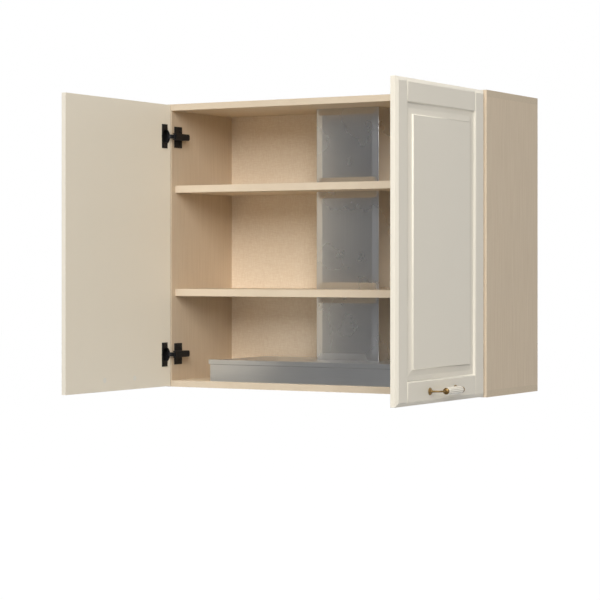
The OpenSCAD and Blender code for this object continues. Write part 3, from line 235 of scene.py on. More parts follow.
# %% Helpers for groups and materials
def new_group(name, inputs, outputs):
    """An empty shader group with named sockets; returns the tree and its end nodes."""
    group = bpy.data.node_groups.new(name, "ShaderNodeTree")
    for socket, kind, value in inputs:
        s = group.interface.new_socket(name=socket, in_out="INPUT", socket_type=kind)
        s.default_value = value
    for socket, kind in outputs:
        group.interface.new_socket(name=socket, in_out="OUTPUT", socket_type=kind)
    return group, add(group, "NodeGroupInput"), add(group, "NodeGroupOutput")


def mix_colour(tree, share, first, second, blend="MIX"):
    """Mixes two colours; each of the three may be a value or a socket."""
    node = add(tree, "ShaderNodeMix", data_type="RGBA", blend_type=blend)
    for index, source in ((0, share), (6, first), (7, second)):
        if isinstance(source, bpy.types.NodeSocket):
            tree.links.new(source, node.inputs[index])
        else:
            node.inputs[index].default_value = source
    return node.outputs[2]


def shade(code):
    """A written sRGB colour, such as (221, 210, 188), as the linear colour of a socket."""
    c = np.array(code, float) / 255
    linear = np.where(c <= 0.04045, c / 12.92, ((c + 0.055) / 1.055) ** 2.4)
    return (*(float(v) for v in linear), 1.0)


def stretched(tree, coordinates, scale, kind, **values):
    """A texture node on coordinates scaled by three factors."""
    mapping = add(tree, "ShaderNodeMapping")
    mapping.inputs["Scale"].default_value = scale
    tree.links.new(coordinates, mapping.inputs["Vector"])
    texture = add(tree, kind)
    for name, value in values.items():
        texture.inputs[name].default_value = value
    tree.links.new(mapping.outputs[0], texture.inputs["Vector"])
    return texture


# %% [markdown]
# The decor's grain is noise on coordinates that each board stretches its own way. Noise alone
# is a soft cloud. A range that is cut off at both ends makes clear streaks of it. They mix
# the print's light and dark colours, and they are its faint relief too.

# %% Group: decor grain
GRAIN_LOW, GRAIN_HIGH = 0.3, 0.7
grain, taken, given = new_group(
    "decor grain",
    [("Vector", "NodeSocketVector", (0, 0, 0)), ("Light", "NodeSocketColor", (1, 1, 1, 1)),
     ("Dark", "NodeSocketColor", (0.5, 0.5, 0.5, 1)), ("Amount", "NodeSocketFloat", 1.0)],
    [("Color", "NodeSocketColor"), ("Height", "NodeSocketFloat")])
waves = add(grain, "ShaderNodeTexNoise", Scale=1.0, Detail=5, Roughness=0.62, Distortion=0.4)
grain.links.new(taken.outputs["Vector"], waves.inputs["Vector"])
sharper = add(grain, "ShaderNodeMapRange", clamp=True, From_Min=GRAIN_LOW, From_Max=GRAIN_HIGH)
grain.links.new(waves.outputs["Fac"], sharper.inputs["Value"])
weighted = add(grain, "ShaderNodeMath", operation="MULTIPLY")
grain.links.new(sharper.outputs[0], weighted.inputs[0])
grain.links.new(taken.outputs["Amount"], weighted.inputs[1])
grain.links.new(mix_colour(grain, weighted.outputs[0], taken.outputs["Light"],
                           taken.outputs["Dark"]), given.inputs["Color"])
grain.links.new(sharper.outputs[0], given.inputs["Height"])
print("group:", grain.name, len(grain.nodes), "nodes")

# %% [markdown]
# The second group moves a colour and a gloss a little from place to place, as handling, dust
# and the mould do on any real face. Both follow the same cloud, because a spot that is
# rubbed dull looks paler too.

# %% Group: soft unevenness
uneven, taken, given = new_group(
    "soft unevenness",
    [("Color", "NodeSocketColor", (1, 1, 1, 1)), ("Scale", "NodeSocketFloat", 12.0),
     ("Amount", "NodeSocketFloat", 0.05), ("Roughness", "NodeSocketFloat", 0.4)],
    [("Color", "NodeSocketColor"), ("Roughness", "NodeSocketFloat"),
     ("Height", "NodeSocketFloat")])
place = add(uneven, "ShaderNodeTexCoord")
cloud = add(uneven, "ShaderNodeTexNoise", Detail=4)
uneven.links.new(place.outputs["Object"], cloud.inputs["Vector"])
uneven.links.new(taken.outputs["Scale"], cloud.inputs["Scale"])
centred = add(uneven, "ShaderNodeMath", operation="SUBTRACT")
centred.inputs[1].default_value = 0.5
uneven.links.new(cloud.outputs["Fac"], centred.inputs[0])
swing = add(uneven, "ShaderNodeMath", operation="MULTIPLY")
uneven.links.new(centred.outputs[0], swing.inputs[0])
uneven.links.new(taken.outputs["Amount"], swing.inputs[1])
level = add(uneven, "ShaderNodeMath", operation="ADD")
level.inputs[1].default_value = 1.0
uneven.links.new(swing.outputs[0], level.inputs[0])
tinted = add(uneven, "ShaderNodeVectorMath", operation="SCALE")
uneven.links.new(taken.outputs["Color"], tinted.inputs[0])
uneven.links.new(level.outputs[0], tinted.inputs["Scale"])
uneven.links.new(tinted.outputs[0], given.inputs["Color"])
rougher = add(uneven, "ShaderNodeMath", operation="ADD")
uneven.links.new(taken.outputs["Roughness"], rougher.inputs[0])
uneven.links.new(swing.outputs[0], rougher.inputs[1])
uneven.links.new(rougher.outputs[0], given.inputs["Roughness"])
uneven.links.new(cloud.outputs["Fac"], given.inputs["Height"])
print("group:", uneven.name, len(uneven.nodes), "nodes")

# %% [markdown]
# Every finish starts from the same three parts: a Principled shader, a Bump node in front of
# its normal, and a group or two that feed them. The decor board is the first. Melamine board
# is printed paper under clear resin, so its grain is a colour first and hardly a relief. The
# grain runs up the side boards and along the others. In the photograph the sides look a
# little darker and browner inside the cabinet than outside; the tint paints that shade on.


# %% The decor boards
def finish(name, bump=0.0, bump_distance=0.0002, **sockets):
    """A material with a Principled shader and a Bump node.

    Returns the material, its tree, the shader, and the Height socket of the Bump node.
    """
    material = bpy.data.materials.new(name)
    material.use_nodes = True
    tree = material.node_tree
    shader = tree.nodes["Principled BSDF"]
    for socket, value in sockets.items():
        shader.inputs[socket.replace("_", " ")].default_value = value
    height = add(tree, "ShaderNodeBump", Strength=bump, Distance=bump_distance)
    tree.links.new(height.outputs["Normal"], shader.inputs["Normal"])
    return material, tree, shader, height.inputs["Height"]


def place_group(tree, group, **values):
    """Puts a group into a material, with values or sockets on its named inputs."""
    node = add(tree, "ShaderNodeGroup")
    node.node_tree = group
    for name, value in values.items():
        if isinstance(value, bpy.types.NodeSocket):
            tree.links.new(value, node.inputs[name])
        else:
            node.inputs[name].default_value = value
    return node


side_low, side_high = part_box("right_side_panel")
INNER_X, OUTER_X = side_low.x + 0.002, side_high.x - 0.004


def decor_board(name, light, dark, scale, amount=0.6, roughness=0.5, inside=None):
    """Melamine decor: long grain lines on Object coordinates, printed and lightly pressed.

    `inside` is painted shade: it darkens the side boards' colour, fully at the distance
    INNER_X from the middle and not at all at OUTER_X.
    """
    material, tree, shader, height = finish(name, bump=0.12, bump_distance=0.0003)
    where = add(tree, "ShaderNodeTexCoord")
    mapping = add(tree, "ShaderNodeMapping")
    mapping.inputs["Scale"].default_value = scale
    tree.links.new(where.outputs["Object"], mapping.inputs["Vector"])
    lines = place_group(tree, grain, Vector=mapping.outputs[0], Light=shade(light),
                        Dark=shade(dark), Amount=amount)
    colour = lines.outputs["Color"]
    # Painted shade: the side boards darken towards their inner faces, as shade falls inside the
    # cabinet.
    if inside:
        parts = add(tree, "ShaderNodeSeparateXYZ")
        tree.links.new(where.outputs["Object"], parts.inputs[0])
        away = add(tree, "ShaderNodeMath", operation="ABSOLUTE")
        tree.links.new(parts.outputs["X"], away.inputs[0])
        inner = add(tree, "ShaderNodeMapRange", clamp=True, From_Min=OUTER_X, From_Max=INNER_X)
        tree.links.new(away.outputs[0], inner.inputs["Value"])
        colour = mix_colour(tree, inner.outputs[0], colour, inside, blend="MULTIPLY")
    soft = place_group(tree, uneven, Color=colour, Scale=7.0, Amount=0.06,
                       Roughness=roughness)
    tree.links.new(soft.outputs["Color"], shader.inputs["Base Color"])
    tree.links.new(soft.outputs["Roughness"], shader.inputs["Roughness"])
    tree.links.new(lines.outputs["Height"], height)
    return material


# The inside tint of the upright boards is painted shade.
upright = decor_board("maple decor upright", (232, 213, 186), (213, 190, 159), (260, 260, 7),
                      inside=(0.84, 0.81, 0.79, 1))
flat = decor_board("maple decor flat", (226, 208, 181), (207, 185, 154), (7, 260, 260))
banding = decor_board("maple banding", (227, 210, 185), (215, 194, 166), (14, 200, 14), 0.4)
beech = decor_board("raw beech", (214, 178, 132), (186, 146, 100), (300, 300, 30))
print("boards:", upright.name, flat.name, banding.name, beech.name)

# %% [markdown]
# The back panel is thin fibreboard with a printed paper face. From close by, the print is
# a fine cross-hatch like linen. It could be woven from real threads, but at this distance
# only the pattern counts, so two sets of short strokes are multiplied, one along the width
# and one along the height.

# %% The back panel's linen print
STROKE, THREAD = 80, 1300
THREAD_LOW, THREAD_HIGH = 0.12, 0.42
linen, tree, shader, height = finish("linen print", bump=0.1, bump_distance=0.0002)
where = add(tree, "ShaderNodeTexCoord")
across = stretched(tree, where.outputs["Object"], (STROKE, STROKE, THREAD),
                   "ShaderNodeTexNoise", Scale=1.0, Detail=2.0)
along = stretched(tree, where.outputs["Object"], (THREAD, STROKE, STROKE),
                  "ShaderNodeTexNoise", Scale=1.0, Detail=2.0)
threads = add(tree, "ShaderNodeMath", operation="MULTIPLY")
tree.links.new(across.outputs["Fac"], threads.inputs[0])
tree.links.new(along.outputs["Fac"], threads.inputs[1])
spread = add(tree, "ShaderNodeMapRange", clamp=True, From_Min=THREAD_LOW,
             From_Max=THREAD_HIGH)
tree.links.new(threads.outputs[0], spread.inputs["Value"])
print_colour = mix_colour(tree, spread.outputs[0], shade((234, 213, 185)),
                          shade((250, 235, 211)))
soft = place_group(tree, uneven, Color=print_colour, Scale=4.0, Amount=0.08, Roughness=0.55)
tree.links.new(soft.outputs["Color"], shader.inputs["Base Color"])
tree.links.new(soft.outputs["Roughness"], shader.inputs["Roughness"])
tree.links.new(spread.outputs[0], height)
print("linen:", len(tree.nodes), "nodes")

# %% [markdown]
# Film, plastic and lacquer need no pattern, only a colour, a gloss and a trace of unevenness
# in both, as every moulded or sprayed face has. One function makes them all. The doors have
# two finishes: a film on the front and the edges, and a slightly yellower laminate inside.


# %% Plain finishes: film, plastic and lacquer
def plain(name, colour, roughness, amount=0.05, scale=25.0, bump=0.05, **sockets):
    """A finish of one colour with soft unevenness in colour, gloss and height."""
    material, tree, shader, height = finish(name, bump=bump, bump_distance=0.0003, **sockets)
    soft = place_group(tree, uneven, Color=shade(colour), Scale=scale, Amount=amount,
                       Roughness=roughness)
    tree.links.new(soft.outputs["Color"], shader.inputs["Base Color"])
    tree.links.new(soft.outputs["Roughness"], shader.inputs["Roughness"])
    tree.links.new(soft.outputs["Height"], height)
    return material


film = plain("cream door film", (248, 240, 223), 0.38, amount=0.03, scale=9.0, bump=0.02)
door_back = plain("cream door back", (246, 236, 216), 0.45, amount=0.03, scale=9.0, bump=0.02)
cap_plastic = plain("cream plastic", (240, 234, 220), 0.4)
black_paint = plain("black lacquer", (22, 22, 22), 0.55, scale=60.0, Specular_IOR_Level=0.35)
black_plastic = plain("black plastic", (34, 34, 35), 0.5, scale=80.0)
wheel_plastic = plain("fan wheel plastic", (206, 206, 202), 0.45)
motor_paint = plain("motor paint", (44, 45, 47), 0.4)
circuit = plain("circuit board", (34, 96, 56), 0.45, scale=150.0, amount=0.2)
frosted = plain("frosted lens", (240, 240, 236), 0.3, Transmission_Weight=0.35)
print("plain finishes:", [m.name for m in (film, door_back, black_paint, wheel_plastic)])

# %% [markdown]
# The grips are ceramic with a clear glaze over ivory. The flutes get painted shade in brown,
# darker the deeper they are. The painted shade has to follow the flutes, so it reads an
# attribute of the surface, "flute depth", which the grip gets when it is made.

# %% The glaze of the grips, with painted shade in its flutes
FLUTE_SHADE_FROM, FLUTE_SHADE_FULL = 0.55, 0.95
glaze, tree, shader, height = finish("ivory glaze", Coat_Weight=0.2, Coat_Roughness=0.05)
# Painted shade: the colour turns brown towards the bottoms of the flutes.
depth = add(tree, "ShaderNodeAttribute", attribute_name="flute depth")
flute_shade = add(tree, "ShaderNodeMapRange", clamp=True, From_Min=FLUTE_SHADE_FROM, From_Max=FLUTE_SHADE_FULL)
tree.links.new(depth.outputs["Fac"], flute_shade.inputs["Value"])
tone = mix_colour(tree, flute_shade.outputs[0], shade((255, 248, 230)), shade((140, 106, 66)))
soft = place_group(tree, uneven, Color=tone, Scale=25.0, Amount=0.03, Roughness=0.12)
tree.links.new(soft.outputs["Color"], shader.inputs["Base Color"])
tree.links.new(soft.outputs["Roughness"], shader.inputs["Roughness"])
print("glaze:", len(tree.nodes), "nodes")

# %% [markdown]
# Sheet steel is brushed by a belt, which leaves fine lines along its way. The lines are
# noise that is stretched a hundred times in one direction, and they vary the colour more
# than the relief. The bar of the hood has a rolled lip, and the bar's finish paints a dark
# line of shadow along the lip's foot, where the lip shades the bar.

# %% Metals
# Painted shadow: a darker band along the foot of the bar's rolled lip.
LIP_HEIGHT, SHADOW_LINE_HALF = 0.012, 0.00075
SHADOW_LINE_TINT = (0.66, 0.66, 0.66, 1)


def metal(name, colour, roughness, lines, line_amount=0.12, bump=0.05, shadow_line_z=None):
    """Bare metal: fine brushing stretched along one direction, with uneven gloss.

    `shadow_line_z` is the height of a line of painted shadow, reaching SHADOW_LINE_HALF up and
    down from there.
    """
    material, tree, shader, height = finish(name, bump=bump, bump_distance=0.0001)
    shader.inputs["Metallic"].default_value = 1.0
    where = add(tree, "ShaderNodeTexCoord")
    brush = stretched(tree, where.outputs["Object"], lines, "ShaderNodeTexNoise", Scale=1.0,
                      Detail=3.0, Roughness=0.7)
    dark = tuple(v * (1 - line_amount) for v in shade(colour)[:3]) + (1.0,)
    tone = mix_colour(tree, brush.outputs["Fac"], dark, shade(colour))
    # Painted shadow: the colour is darkened in a thin band at the given height.
    if shadow_line_z is not None:
        parts = add(tree, "ShaderNodeSeparateXYZ")
        tree.links.new(where.outputs["Object"], parts.inputs[0])
        near = add(tree, "ShaderNodeMath", operation="COMPARE")
        near.inputs[1].default_value, near.inputs[2].default_value = shadow_line_z, SHADOW_LINE_HALF
        tree.links.new(parts.outputs["Z"], near.inputs[0])
        tone = mix_colour(tree, near.outputs[0], tone, SHADOW_LINE_TINT, blend="MULTIPLY")
    soft = place_group(tree, uneven, Color=tone, Scale=6.0, Amount=0.1, Roughness=roughness)
    tree.links.new(soft.outputs["Color"], shader.inputs["Base Color"])
    tree.links.new(soft.outputs["Roughness"], shader.inputs["Roughness"])
    tree.links.new(brush.outputs["Fac"], height)
    return material


# The bar's finish paints a shadow line at the foot of its lip.
lip_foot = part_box("hood_front_bar")[1].z - LIP_HEIGHT
bar_steel = metal("brushed bar steel", (235, 236, 237), 0.32, (8, 900, 900), bump=0.02,
                  shadow_line_z=lip_foot)
hood_steel = metal("brushed hood steel", (236, 238, 240), 0.32, (8, 900, 900), bump=0.02)
cover_steel = metal("brushed cover steel", (226, 226, 227), 0.275, (900, 900, 8), bump=0.02)
zinc = metal("zinc plate", (200, 202, 205), 0.34, (300, 300, 300))
dark_zinc = metal("dark zinc plate", (56, 56, 57), 0.55, (300, 300, 300))
filter_alloy = metal("filter alloy", (214, 216, 218), 0.36, (10, 600, 600))
galvanised = metal("galvanised sheet", (190, 193, 196), 0.36, (40, 40, 40), 0.3)
old_brass = metal("antique brass", (156, 126, 80), 0.38, (220, 220, 220), 0.55, 0.2)
print("metals: lip at", round(lip_foot, 4))

# %% [markdown]
# Now each piece of the cabinet gets its finish. A table reads better than sixty assignments,
# and it shows at once what is made of the same stuff.

# %% Dress the CAD nodes
dress = {
    upright: ["left_side_panel", "right_side_panel"],
    flat: ["top_panel", "bottom_panel", "upper_shelf", "lower_shelf"],
    banding: ["carcass_edge_bands", "shelf_edge_bands"],
    linen: ["back_panel"],
    beech: ["dowels"],
    film: ["left_door", "right_door"],
    cap_plastic: ["left_screw_caps", "right_screw_caps"],
    black_paint: ["hinge_plates", "hinge_arms", "left_hinge_cups", "right_hinge_cups",
                  "hinge_plate_screws", "left_cup_screws", "right_cup_screws",
                  "left_cup_pins", "right_cup_pins"],
    dark_zinc: ["left_hinge_links", "right_hinge_links"],
    zinc: ["shelf_pins", "carcass_screws", "hanging_plates", "hanging_plate_screws",
           "left_handle_rod", "right_handle_rod", "left_handle_screws",
           "right_handle_screws", "hood_screws", "fan_screws", "cover_screws",
           "motor_bracket"],
    old_brass: ["left_handle_arms", "right_handle_arms"],
    glaze: ["left_handle_grip", "right_handle_grip"],
    bar_steel: ["hood_front_bar"],
    hood_steel: ["hood_body", "hood_tray"],
    filter_alloy: ["left_filter_frame", "right_filter_frame", "left_filter_mesh",
                   "right_filter_mesh"],
    frosted: ["lamp_lens"],
    circuit: ["lamp_board"],
    black_plastic: ["fan_switch", "light_switch"],
    galvanised: ["fan_housing", "duct_pipe", "outlet_collar"],
    motor_paint: ["fan_motor"],
    wheel_plastic: ["fan_wheel"],
    cover_steel: ["lower_duct_cover", "middle_duct_cover", "upper_duct_cover"],
}
for material, names in dress.items():
    for name in names:
        nodes[name].data.materials.clear()
        nodes[name].data.materials.append(material)
left_over = set(nodes) - {n for names in dress.values() for n in names}
print("dressed", len(nodes) - len(left_over), "nodes, left over:", sorted(left_over))

# %% [markdown]
# The solids of the CAD model have knife-sharp edges, which real boards, pressings and
# castings never have. A sharp edge catches no light, so a model without rounding looks
# drawn. The next helpers make the finer pieces. Each piece stands for one CAD node: it
# rides on the node's body, takes its material slot, and hides it. A piece is either a copy
# of the node with its edges rounded, or a new surface worked out on a grid.


# %% Helpers: which body, slot and finish a node has
body_names = {empty.name: body for body, empty in frame["bodies"].items()}
finish_of = {name: material for material, names in dress.items() for name in names}


def stand_for(piece, node):
    """Lets a new piece take a CAD node's place, body, material slot and finish."""
    scene.collection.objects.link(piece)
    if not piece.data.materials:
        piece.data.materials.append(finish_of[node])
    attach(piece, body_names[nodes[node].parent.name])
    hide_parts(node)
    return piece


EDGE_ANGLE, SHARP_ANGLE = math.radians(10), math.radians(30)
SAME_PLANE, SAME_POINT, SAME_GRID_POINT = math.radians(0.3), 1e-6, 1e-7


def rounded_copy(node, radius, shortest, segments=3):
    """A merged copy of a CAD node with its long edges rounded by a Bevel modifier.

    An edge is rounded if it is longer than `shortest` and its faces meet at more than
    EDGE_ANGLE. The short edges round a bore, and the lines along it, stay as they are.
    """
    mesh = nodes[node].data.copy()
    mesh.materials.clear()
    shape = bmesh.new()
    shape.from_mesh(mesh)
    bmesh.ops.remove_doubles(shape, verts=shape.verts, dist=SAME_POINT)
    bmesh.ops.dissolve_limit(shape, angle_limit=SAME_PLANE, verts=shape.verts,
                             edges=shape.edges)
    weight = shape.edges.layers.float.new("bevel_weight_edge")
    for edge in shape.edges:
        angle = edge.calc_face_angle(0)
        if edge.calc_length() > shortest and angle > EDGE_ANGLE:
            edge[weight] = 1.0
        elif angle > SHARP_ANGLE:
            edge.smooth = False
    for face in shape.faces:
        face.smooth = True
    shape.to_mesh(mesh)
    shape.free()
    piece = bpy.data.objects.new(node + ".rounded", mesh)
    bevel = piece.modifiers.new("soft edges", "BEVEL")
    bevel.limit_method = "WEIGHT"
    bevel.width, bevel.segments = radius, segments
    bevel.use_clamp_overlap = False
    flat = piece.modifiers.new("flat faces", "WEIGHTED_NORMAL")
    flat.mode, flat.weight, flat.keep_sharp = "FACE_AREA", 100, True
    return stand_for(piece, node)


def surface(name, grids, sharp=35.0, closed=True):
    """An object from grids of points, each an array of shape (rows, columns, 3).

    A seam or a pole is closed by points that fall together, which are then merged.
    """
    points, faces, first = [], [], 0
    for grid in grids:
        rows, columns = grid.shape[:2]
        index = first + np.arange(rows * columns).reshape(rows, columns)
        faces.append(np.stack([index[:-1, :-1], index[:-1, 1:], index[1:, 1:], index[1:, :-1]],
                              axis=-1).reshape(-1, 4))
        points.append(grid.reshape(-1, 3))
        first += rows * columns
    mesh = bpy.data.meshes.new(name)
    mesh.from_pydata(np.concatenate(points), [], np.concatenate(faces))
    shape = bmesh.new()
    shape.from_mesh(mesh)
    bmesh.ops.remove_doubles(shape, verts=shape.verts, dist=SAME_GRID_POINT)
    if closed:
        bmesh.ops.recalc_face_normals(shape, faces=shape.faces)
    shape.to_mesh(mesh)
    shape.free()
    mesh.polygons.foreach_set("use_smooth", np.ones(len(mesh.polygons), bool))
    mesh.set_sharp_from_angle(angle=math.radians(sharp))
    return bpy.data.objects.new(name, mesh)


def smooth_step(t):
    """0 below 0, 1 above 1, and an S-shaped rise between: 3t^2 - 2t^3."""
    t = np.clip(t, 0.0, 1.0)
    return t * t * (3 - 2 * t)


def soft_ramp(t, bend=0.14):
    """0 below 0, 1 above 1, and a straight rise between that bends in and out softly.

    The bends are parabolas of the width `bend`: t^2 / 2b at the foot, its mirror at the top.
    """
    t = np.clip(t, 0.0, 1.0)
    rise = np.where(t < bend, t * t / (2 * bend), t - bend / 2)
    rise = np.where(t > 1 - bend, 1 - bend - (1 - t) ** 2 / (2 * bend), rise)
    return rise / (1 - bend)


# %% [markdown]
# Doors, hood and hinges keep the CAD node's shape and only lose their knife edges. A bevel
# of three segments does that, with weighted normals so that the flat faces stay flat in the
# light. Film over a milled door softens an edge by a third of a millimetre, and folded sheet
# steel by twice that. The table gives each node's radius and the shortest edge to round.

# %% Rounded doors, sheet metal and hinges
ROUNDED = {"left_door": (0.0003, 0.008), "right_door": (0.0003, 0.008),
           "hood_front_bar": (0.0006, 0.008), "hood_body": (0.0006, 0.008),
           "hood_tray": (0.0004, 0.006), "hinge_plates": (0.0004, 0.003),
           "hinge_arms": (0.0003, 0.003), "left_hinge_cups": (0.0003, 0.004),
           "right_hinge_cups": (0.0003, 0.004)}
rounded = {node: rounded_copy(node, *sizes) for node, sizes in ROUNDED.items()}
ON_FACE = 0.0001


def colour_door_back(node):
    """Gives the flat inner face of a door the laminate of its back."""
    mesh = rounded[node].data
    mesh.materials.append(door_back)
    centres = np.empty(len(mesh.polygons) * 3)
    mesh.polygons.foreach_get("center", centres)
    low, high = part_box(node)
    inner = high.x if low.x < 0 else low.x
    index = np.where(np.abs(centres[::3] - inner) < ON_FACE, 1, 0)
    mesh.polygons.foreach_set("material_index", index.astype(np.int32))
    return int(index.sum())


back_faces = [colour_door_back(node) for node in ("left_door", "right_door")]
print("rounded:", len(rounded), "back faces:", back_faces)

# %% [markdown]
# The three duct covers are pressed from thin sheet. Their faces rise over a sloping border
# all round, with soft bends at its foot and top. Steel mirrors its surroundings, so these
# bends decide how wide each bright band is, and a bevel can't give them. The press depth at
# a point is the product of two ramps, one of the distance from the sides and one of the
# distance from the ends, which leaves no mitre line in the corners.

# %% The pressed duct covers
COVER_SHEET, COVER_FOLD, COVER_FOOT = 0.001, 0.0012, 0.012
COVER_BORDER, COVER_PRESS, BORDER_STEPS = 0.018, 0.003, 29


def pressed_cover(node):
    """A folded sheet: foot, side, face, side and foot, from floor to ceiling of its bay.

    Columns follow the fold in plan and rows follow Z. The face stands out by
    PRESS * R(dx / BORDER) * R(dz / BORDER), where R is soft_ramp.
    """
    low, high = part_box(node)
    half = high.x
    front, back = low.y + COVER_PRESS, high.y
    turn = np.linspace(0, math.pi / 2, 5)
    bend = COVER_FOLD * np.stack([1 - np.cos(turn), 1 - np.sin(turn)], axis=1)
    near = np.linspace(0, COVER_BORDER, BORDER_STEPS)[1:]
    face = np.concatenate([-half + COVER_FOLD + near, half - COVER_FOLD - near[::-1]])
    corner_back = np.stack([-half + bend[::-1, 0], back - bend[::-1, 1]], axis=1)
    corner_front = np.stack([-half + bend[:, 0], front + bend[:, 1]], axis=1)
    left = np.concatenate([[(-half + COVER_FOOT, back)], corner_back, corner_front])
    right = left[::-1] * (-1, 1)
    plan = np.concatenate([left, np.stack([face, np.full_like(face, front)], axis=1), right])
    inset = np.zeros(len(plan))
    inset[len(left):-len(right)] = half - COVER_FOLD - np.abs(face)
    ends = np.linspace(0, COVER_BORDER, BORDER_STEPS)
    heights = np.concatenate([low.z + ends, high.z - ends[::-1]])
    rise = np.minimum(heights - low.z, high.z - heights)
    press = np.outer(soft_ramp(rise / COVER_BORDER), soft_ramp(inset / COVER_BORDER))
    grid = np.empty((len(heights), len(plan), 3))
    grid[:, :, 0] = plan[:, 0]
    grid[:, :, 1] = plan[:, 1] - COVER_PRESS * press
    grid[:, :, 2] = heights[:, None]
    piece = surface(node + ".pressed", [grid], sharp=60, closed=False)
    sheet = piece.modifiers.new("sheet", "SOLIDIFY")
    sheet.thickness, sheet.offset = COVER_SHEET, -1
    return stand_for(piece, node)


covers = [pressed_cover(n) for n in ("lower_duct_cover", "middle_duct_cover", "upper_duct_cover")]
print("covers:", [c.name for c in covers])

# %% [markdown]
# The handles are turned and cast brass with a ceramic grip. Subdivided boxes could be
# pulled into these forms, but a lathe already tells how: a turned form is a profile swung
# round an axis, and the arm is a circle carried along a curve. Both are drawn flat against
# the door: the first axis points away from the door, the second runs along the grip, and
# the third points up.


# %% Turned and swept surfaces
def turned(profile, steps=48):
    """Rows of (distance along the axis, radius), swung round the first axis."""
    profile = np.asarray(profile, float)
    turn = np.linspace(0, 2 * math.pi, steps + 1)
    along = np.repeat(profile[:, :1], steps + 1, axis=1)
    return np.stack([along, profile[:, 1:] * np.cos(turn), profile[:, 1:] * np.sin(turn)],
                    axis=-1)


def bezier(p0, p1, p2, p3, steps):
    """Points of a cubic curve: (1-t)^3 p0 + 3(1-t)^2 t p1 + 3(1-t) t^2 p2 + t^3 p3."""
    t = np.linspace(0, 1, steps)[:, None]
    p0, p1, p2, p3 = (np.asarray(p, float) for p in (p0, p1, p2, p3))
    return (1 - t) ** 3 * p0 + 3 * (1 - t) ** 2 * t * p1 + 3 * (1 - t) * t ** 2 * p2 + t ** 3 * p3


def swept(path, radii, steps=20):
    """A round bar along a path in the first two axes, with a radius at each point."""
    way = np.gradient(path, axis=0)
    way /= np.linalg.norm(way, axis=1)[:, None]
    side = np.stack([-way[:, 1], way[:, 0]], axis=1)
    turn = np.linspace(0, 2 * math.pi, steps + 1)
    radii = np.asarray(radii)[:, None]
    bar = np.empty((len(path), steps + 1, 3))
    bar[:, :, 0] = path[:, :1] + side[:, :1] * radii * np.cos(turn)
    bar[:, :, 1] = path[:, 1:] + side[:, 1:] * radii * np.cos(turn)
    bar[:, :, 2] = radii * np.sin(turn)
    return bar


print("a turned ring:", turned([(0, 1), (1, 1)]).shape)

# %% [markdown]
# Each handle takes its place and sizes from the boxes of its CAD nodes. The numbers could be
# typed in once more, but then two files would have to agree. One sign turns the handle to
# the left or to the right.

# %% The places of the handles
ROSETTE_R, ROSETTE_T = 0.0085, 0.003


def handle_places(side):
    """A handle's direction, face of the door, centre and sizes, from the CAD nodes' boxes.

    "reach" is from the door to the grip's axis, "pitch" from the centre to a rosette, and
    "grip" from the centre to an end of the grip.
    """
    arms_low, arms_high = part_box(side + "_handle_arms")
    grip_low, grip_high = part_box(side + "_handle_grip")
    outward = -1 if side == "left" else 1
    face = arms_high.x if outward < 0 else arms_low.x
    centre = (arms_low + arms_high) / 2
    grip = (grip_low + grip_high) / 2
    return {"out": outward, "face": face, "centre_y": centre.y, "centre_z": grip.z,
            "reach": abs(grip.x - face), "pitch": (arms_high.y - arms_low.y) / 2 - ROSETTE_R,
            "grip": (grip_high.y - grip_low.y) / 2, "radius": (grip_high.z - grip_low.z) / 2}


def on_door(grid, place):
    """Takes a grid from handle axes (out, along, up) to its place on the door."""
    moved = np.empty_like(grid)
    moved[..., 0] = place["face"] + place["out"] * grid[..., 0]
    moved[..., 1] = place["centre_y"] + grid[..., 1]
    moved[..., 2] = place["centre_z"] + grid[..., 2]
    return moved


print("right handle:", {k: round(v, 4) for k, v in handle_places("right").items()})

# %% [markdown]
# Each brass end has three forms: a stepped rosette on the door, a swan-neck arm, and a turned
# bead that holds the grip. Their profiles are short lists of steps, written as shares of the
# form's own size. The end at the other side is the same one, mirrored.

# %% The brass ends
ARM_R, ARM_WAIST, ARM_FLARE, ARM_STEPS = 0.0021, 0.92, 0.2, 22
ARM_BENDS = ((0.72, 0.001), (1.02, 0.021))  # share of the reach, distance along the grip
ARM_END = 0.006  # distance beyond the grip
ROSETTE_PROFILE = np.array([  # shares of its thickness and of its radius
    (0, 0), (0, 1), (0.25, 1), (0.5, 0.97), (0.6, 0.84), (0.72, 0.78), (0.95, 0.76),
    (1.1, 0.68), (1.15, 0.55), (1.4, 0.42), (2.0, 0.32), (2.8, 0.27), (2.8, 0)])
BEAD_PROFILE = np.array([  # distance beyond the grip, share of the grip's radius
    (0, 0), (0, 0.72), (0.0007, 0.76), (0.0012, 0.7), (0.0018, 0.72), (0.0028, 0.82),
    (0.004, 0.86), (0.0052, 0.82), (0.0062, 0.7), (0.0069, 0.54), (0.0072, 0.45),
    (0.0082, 0.42), (0.009, 0.36), (0.0092, 0)])


def brass_end(place):
    """Rosette, swan-neck arm and bead of the end at +along, in handle axes.

    The arm is a cubic curve from the rosette out to the bead. Its radius is
    ARM_R * (ARM_WAIST + ARM_FLARE * s^2), with s from -1 to 1 along it.
    """
    reach, grip, pitch = place["reach"], place["grip"], place["pitch"]
    rosette = turned(ROSETTE_PROFILE * (ROSETTE_T, ROSETTE_R))
    rosette[..., 1] += pitch
    (near, past_pitch), (far, past_grip) = ARM_BENDS
    path = bezier((ROSETTE_T, pitch), (near * reach, pitch + past_pitch),
                  (far * reach, grip + past_grip), (reach, grip + ARM_END), ARM_STEPS)
    s = np.linspace(-1, 1, ARM_STEPS)
    arm = swept(path, ARM_R * (ARM_WAIST + ARM_FLARE * s ** 2))
    bead = turned(BEAD_PROFILE * (1, place["radius"]))
    bead = np.stack([reach + bead[..., 1], grip + bead[..., 0], bead[..., 2]], axis=-1)
    return [rosette, arm, bead]


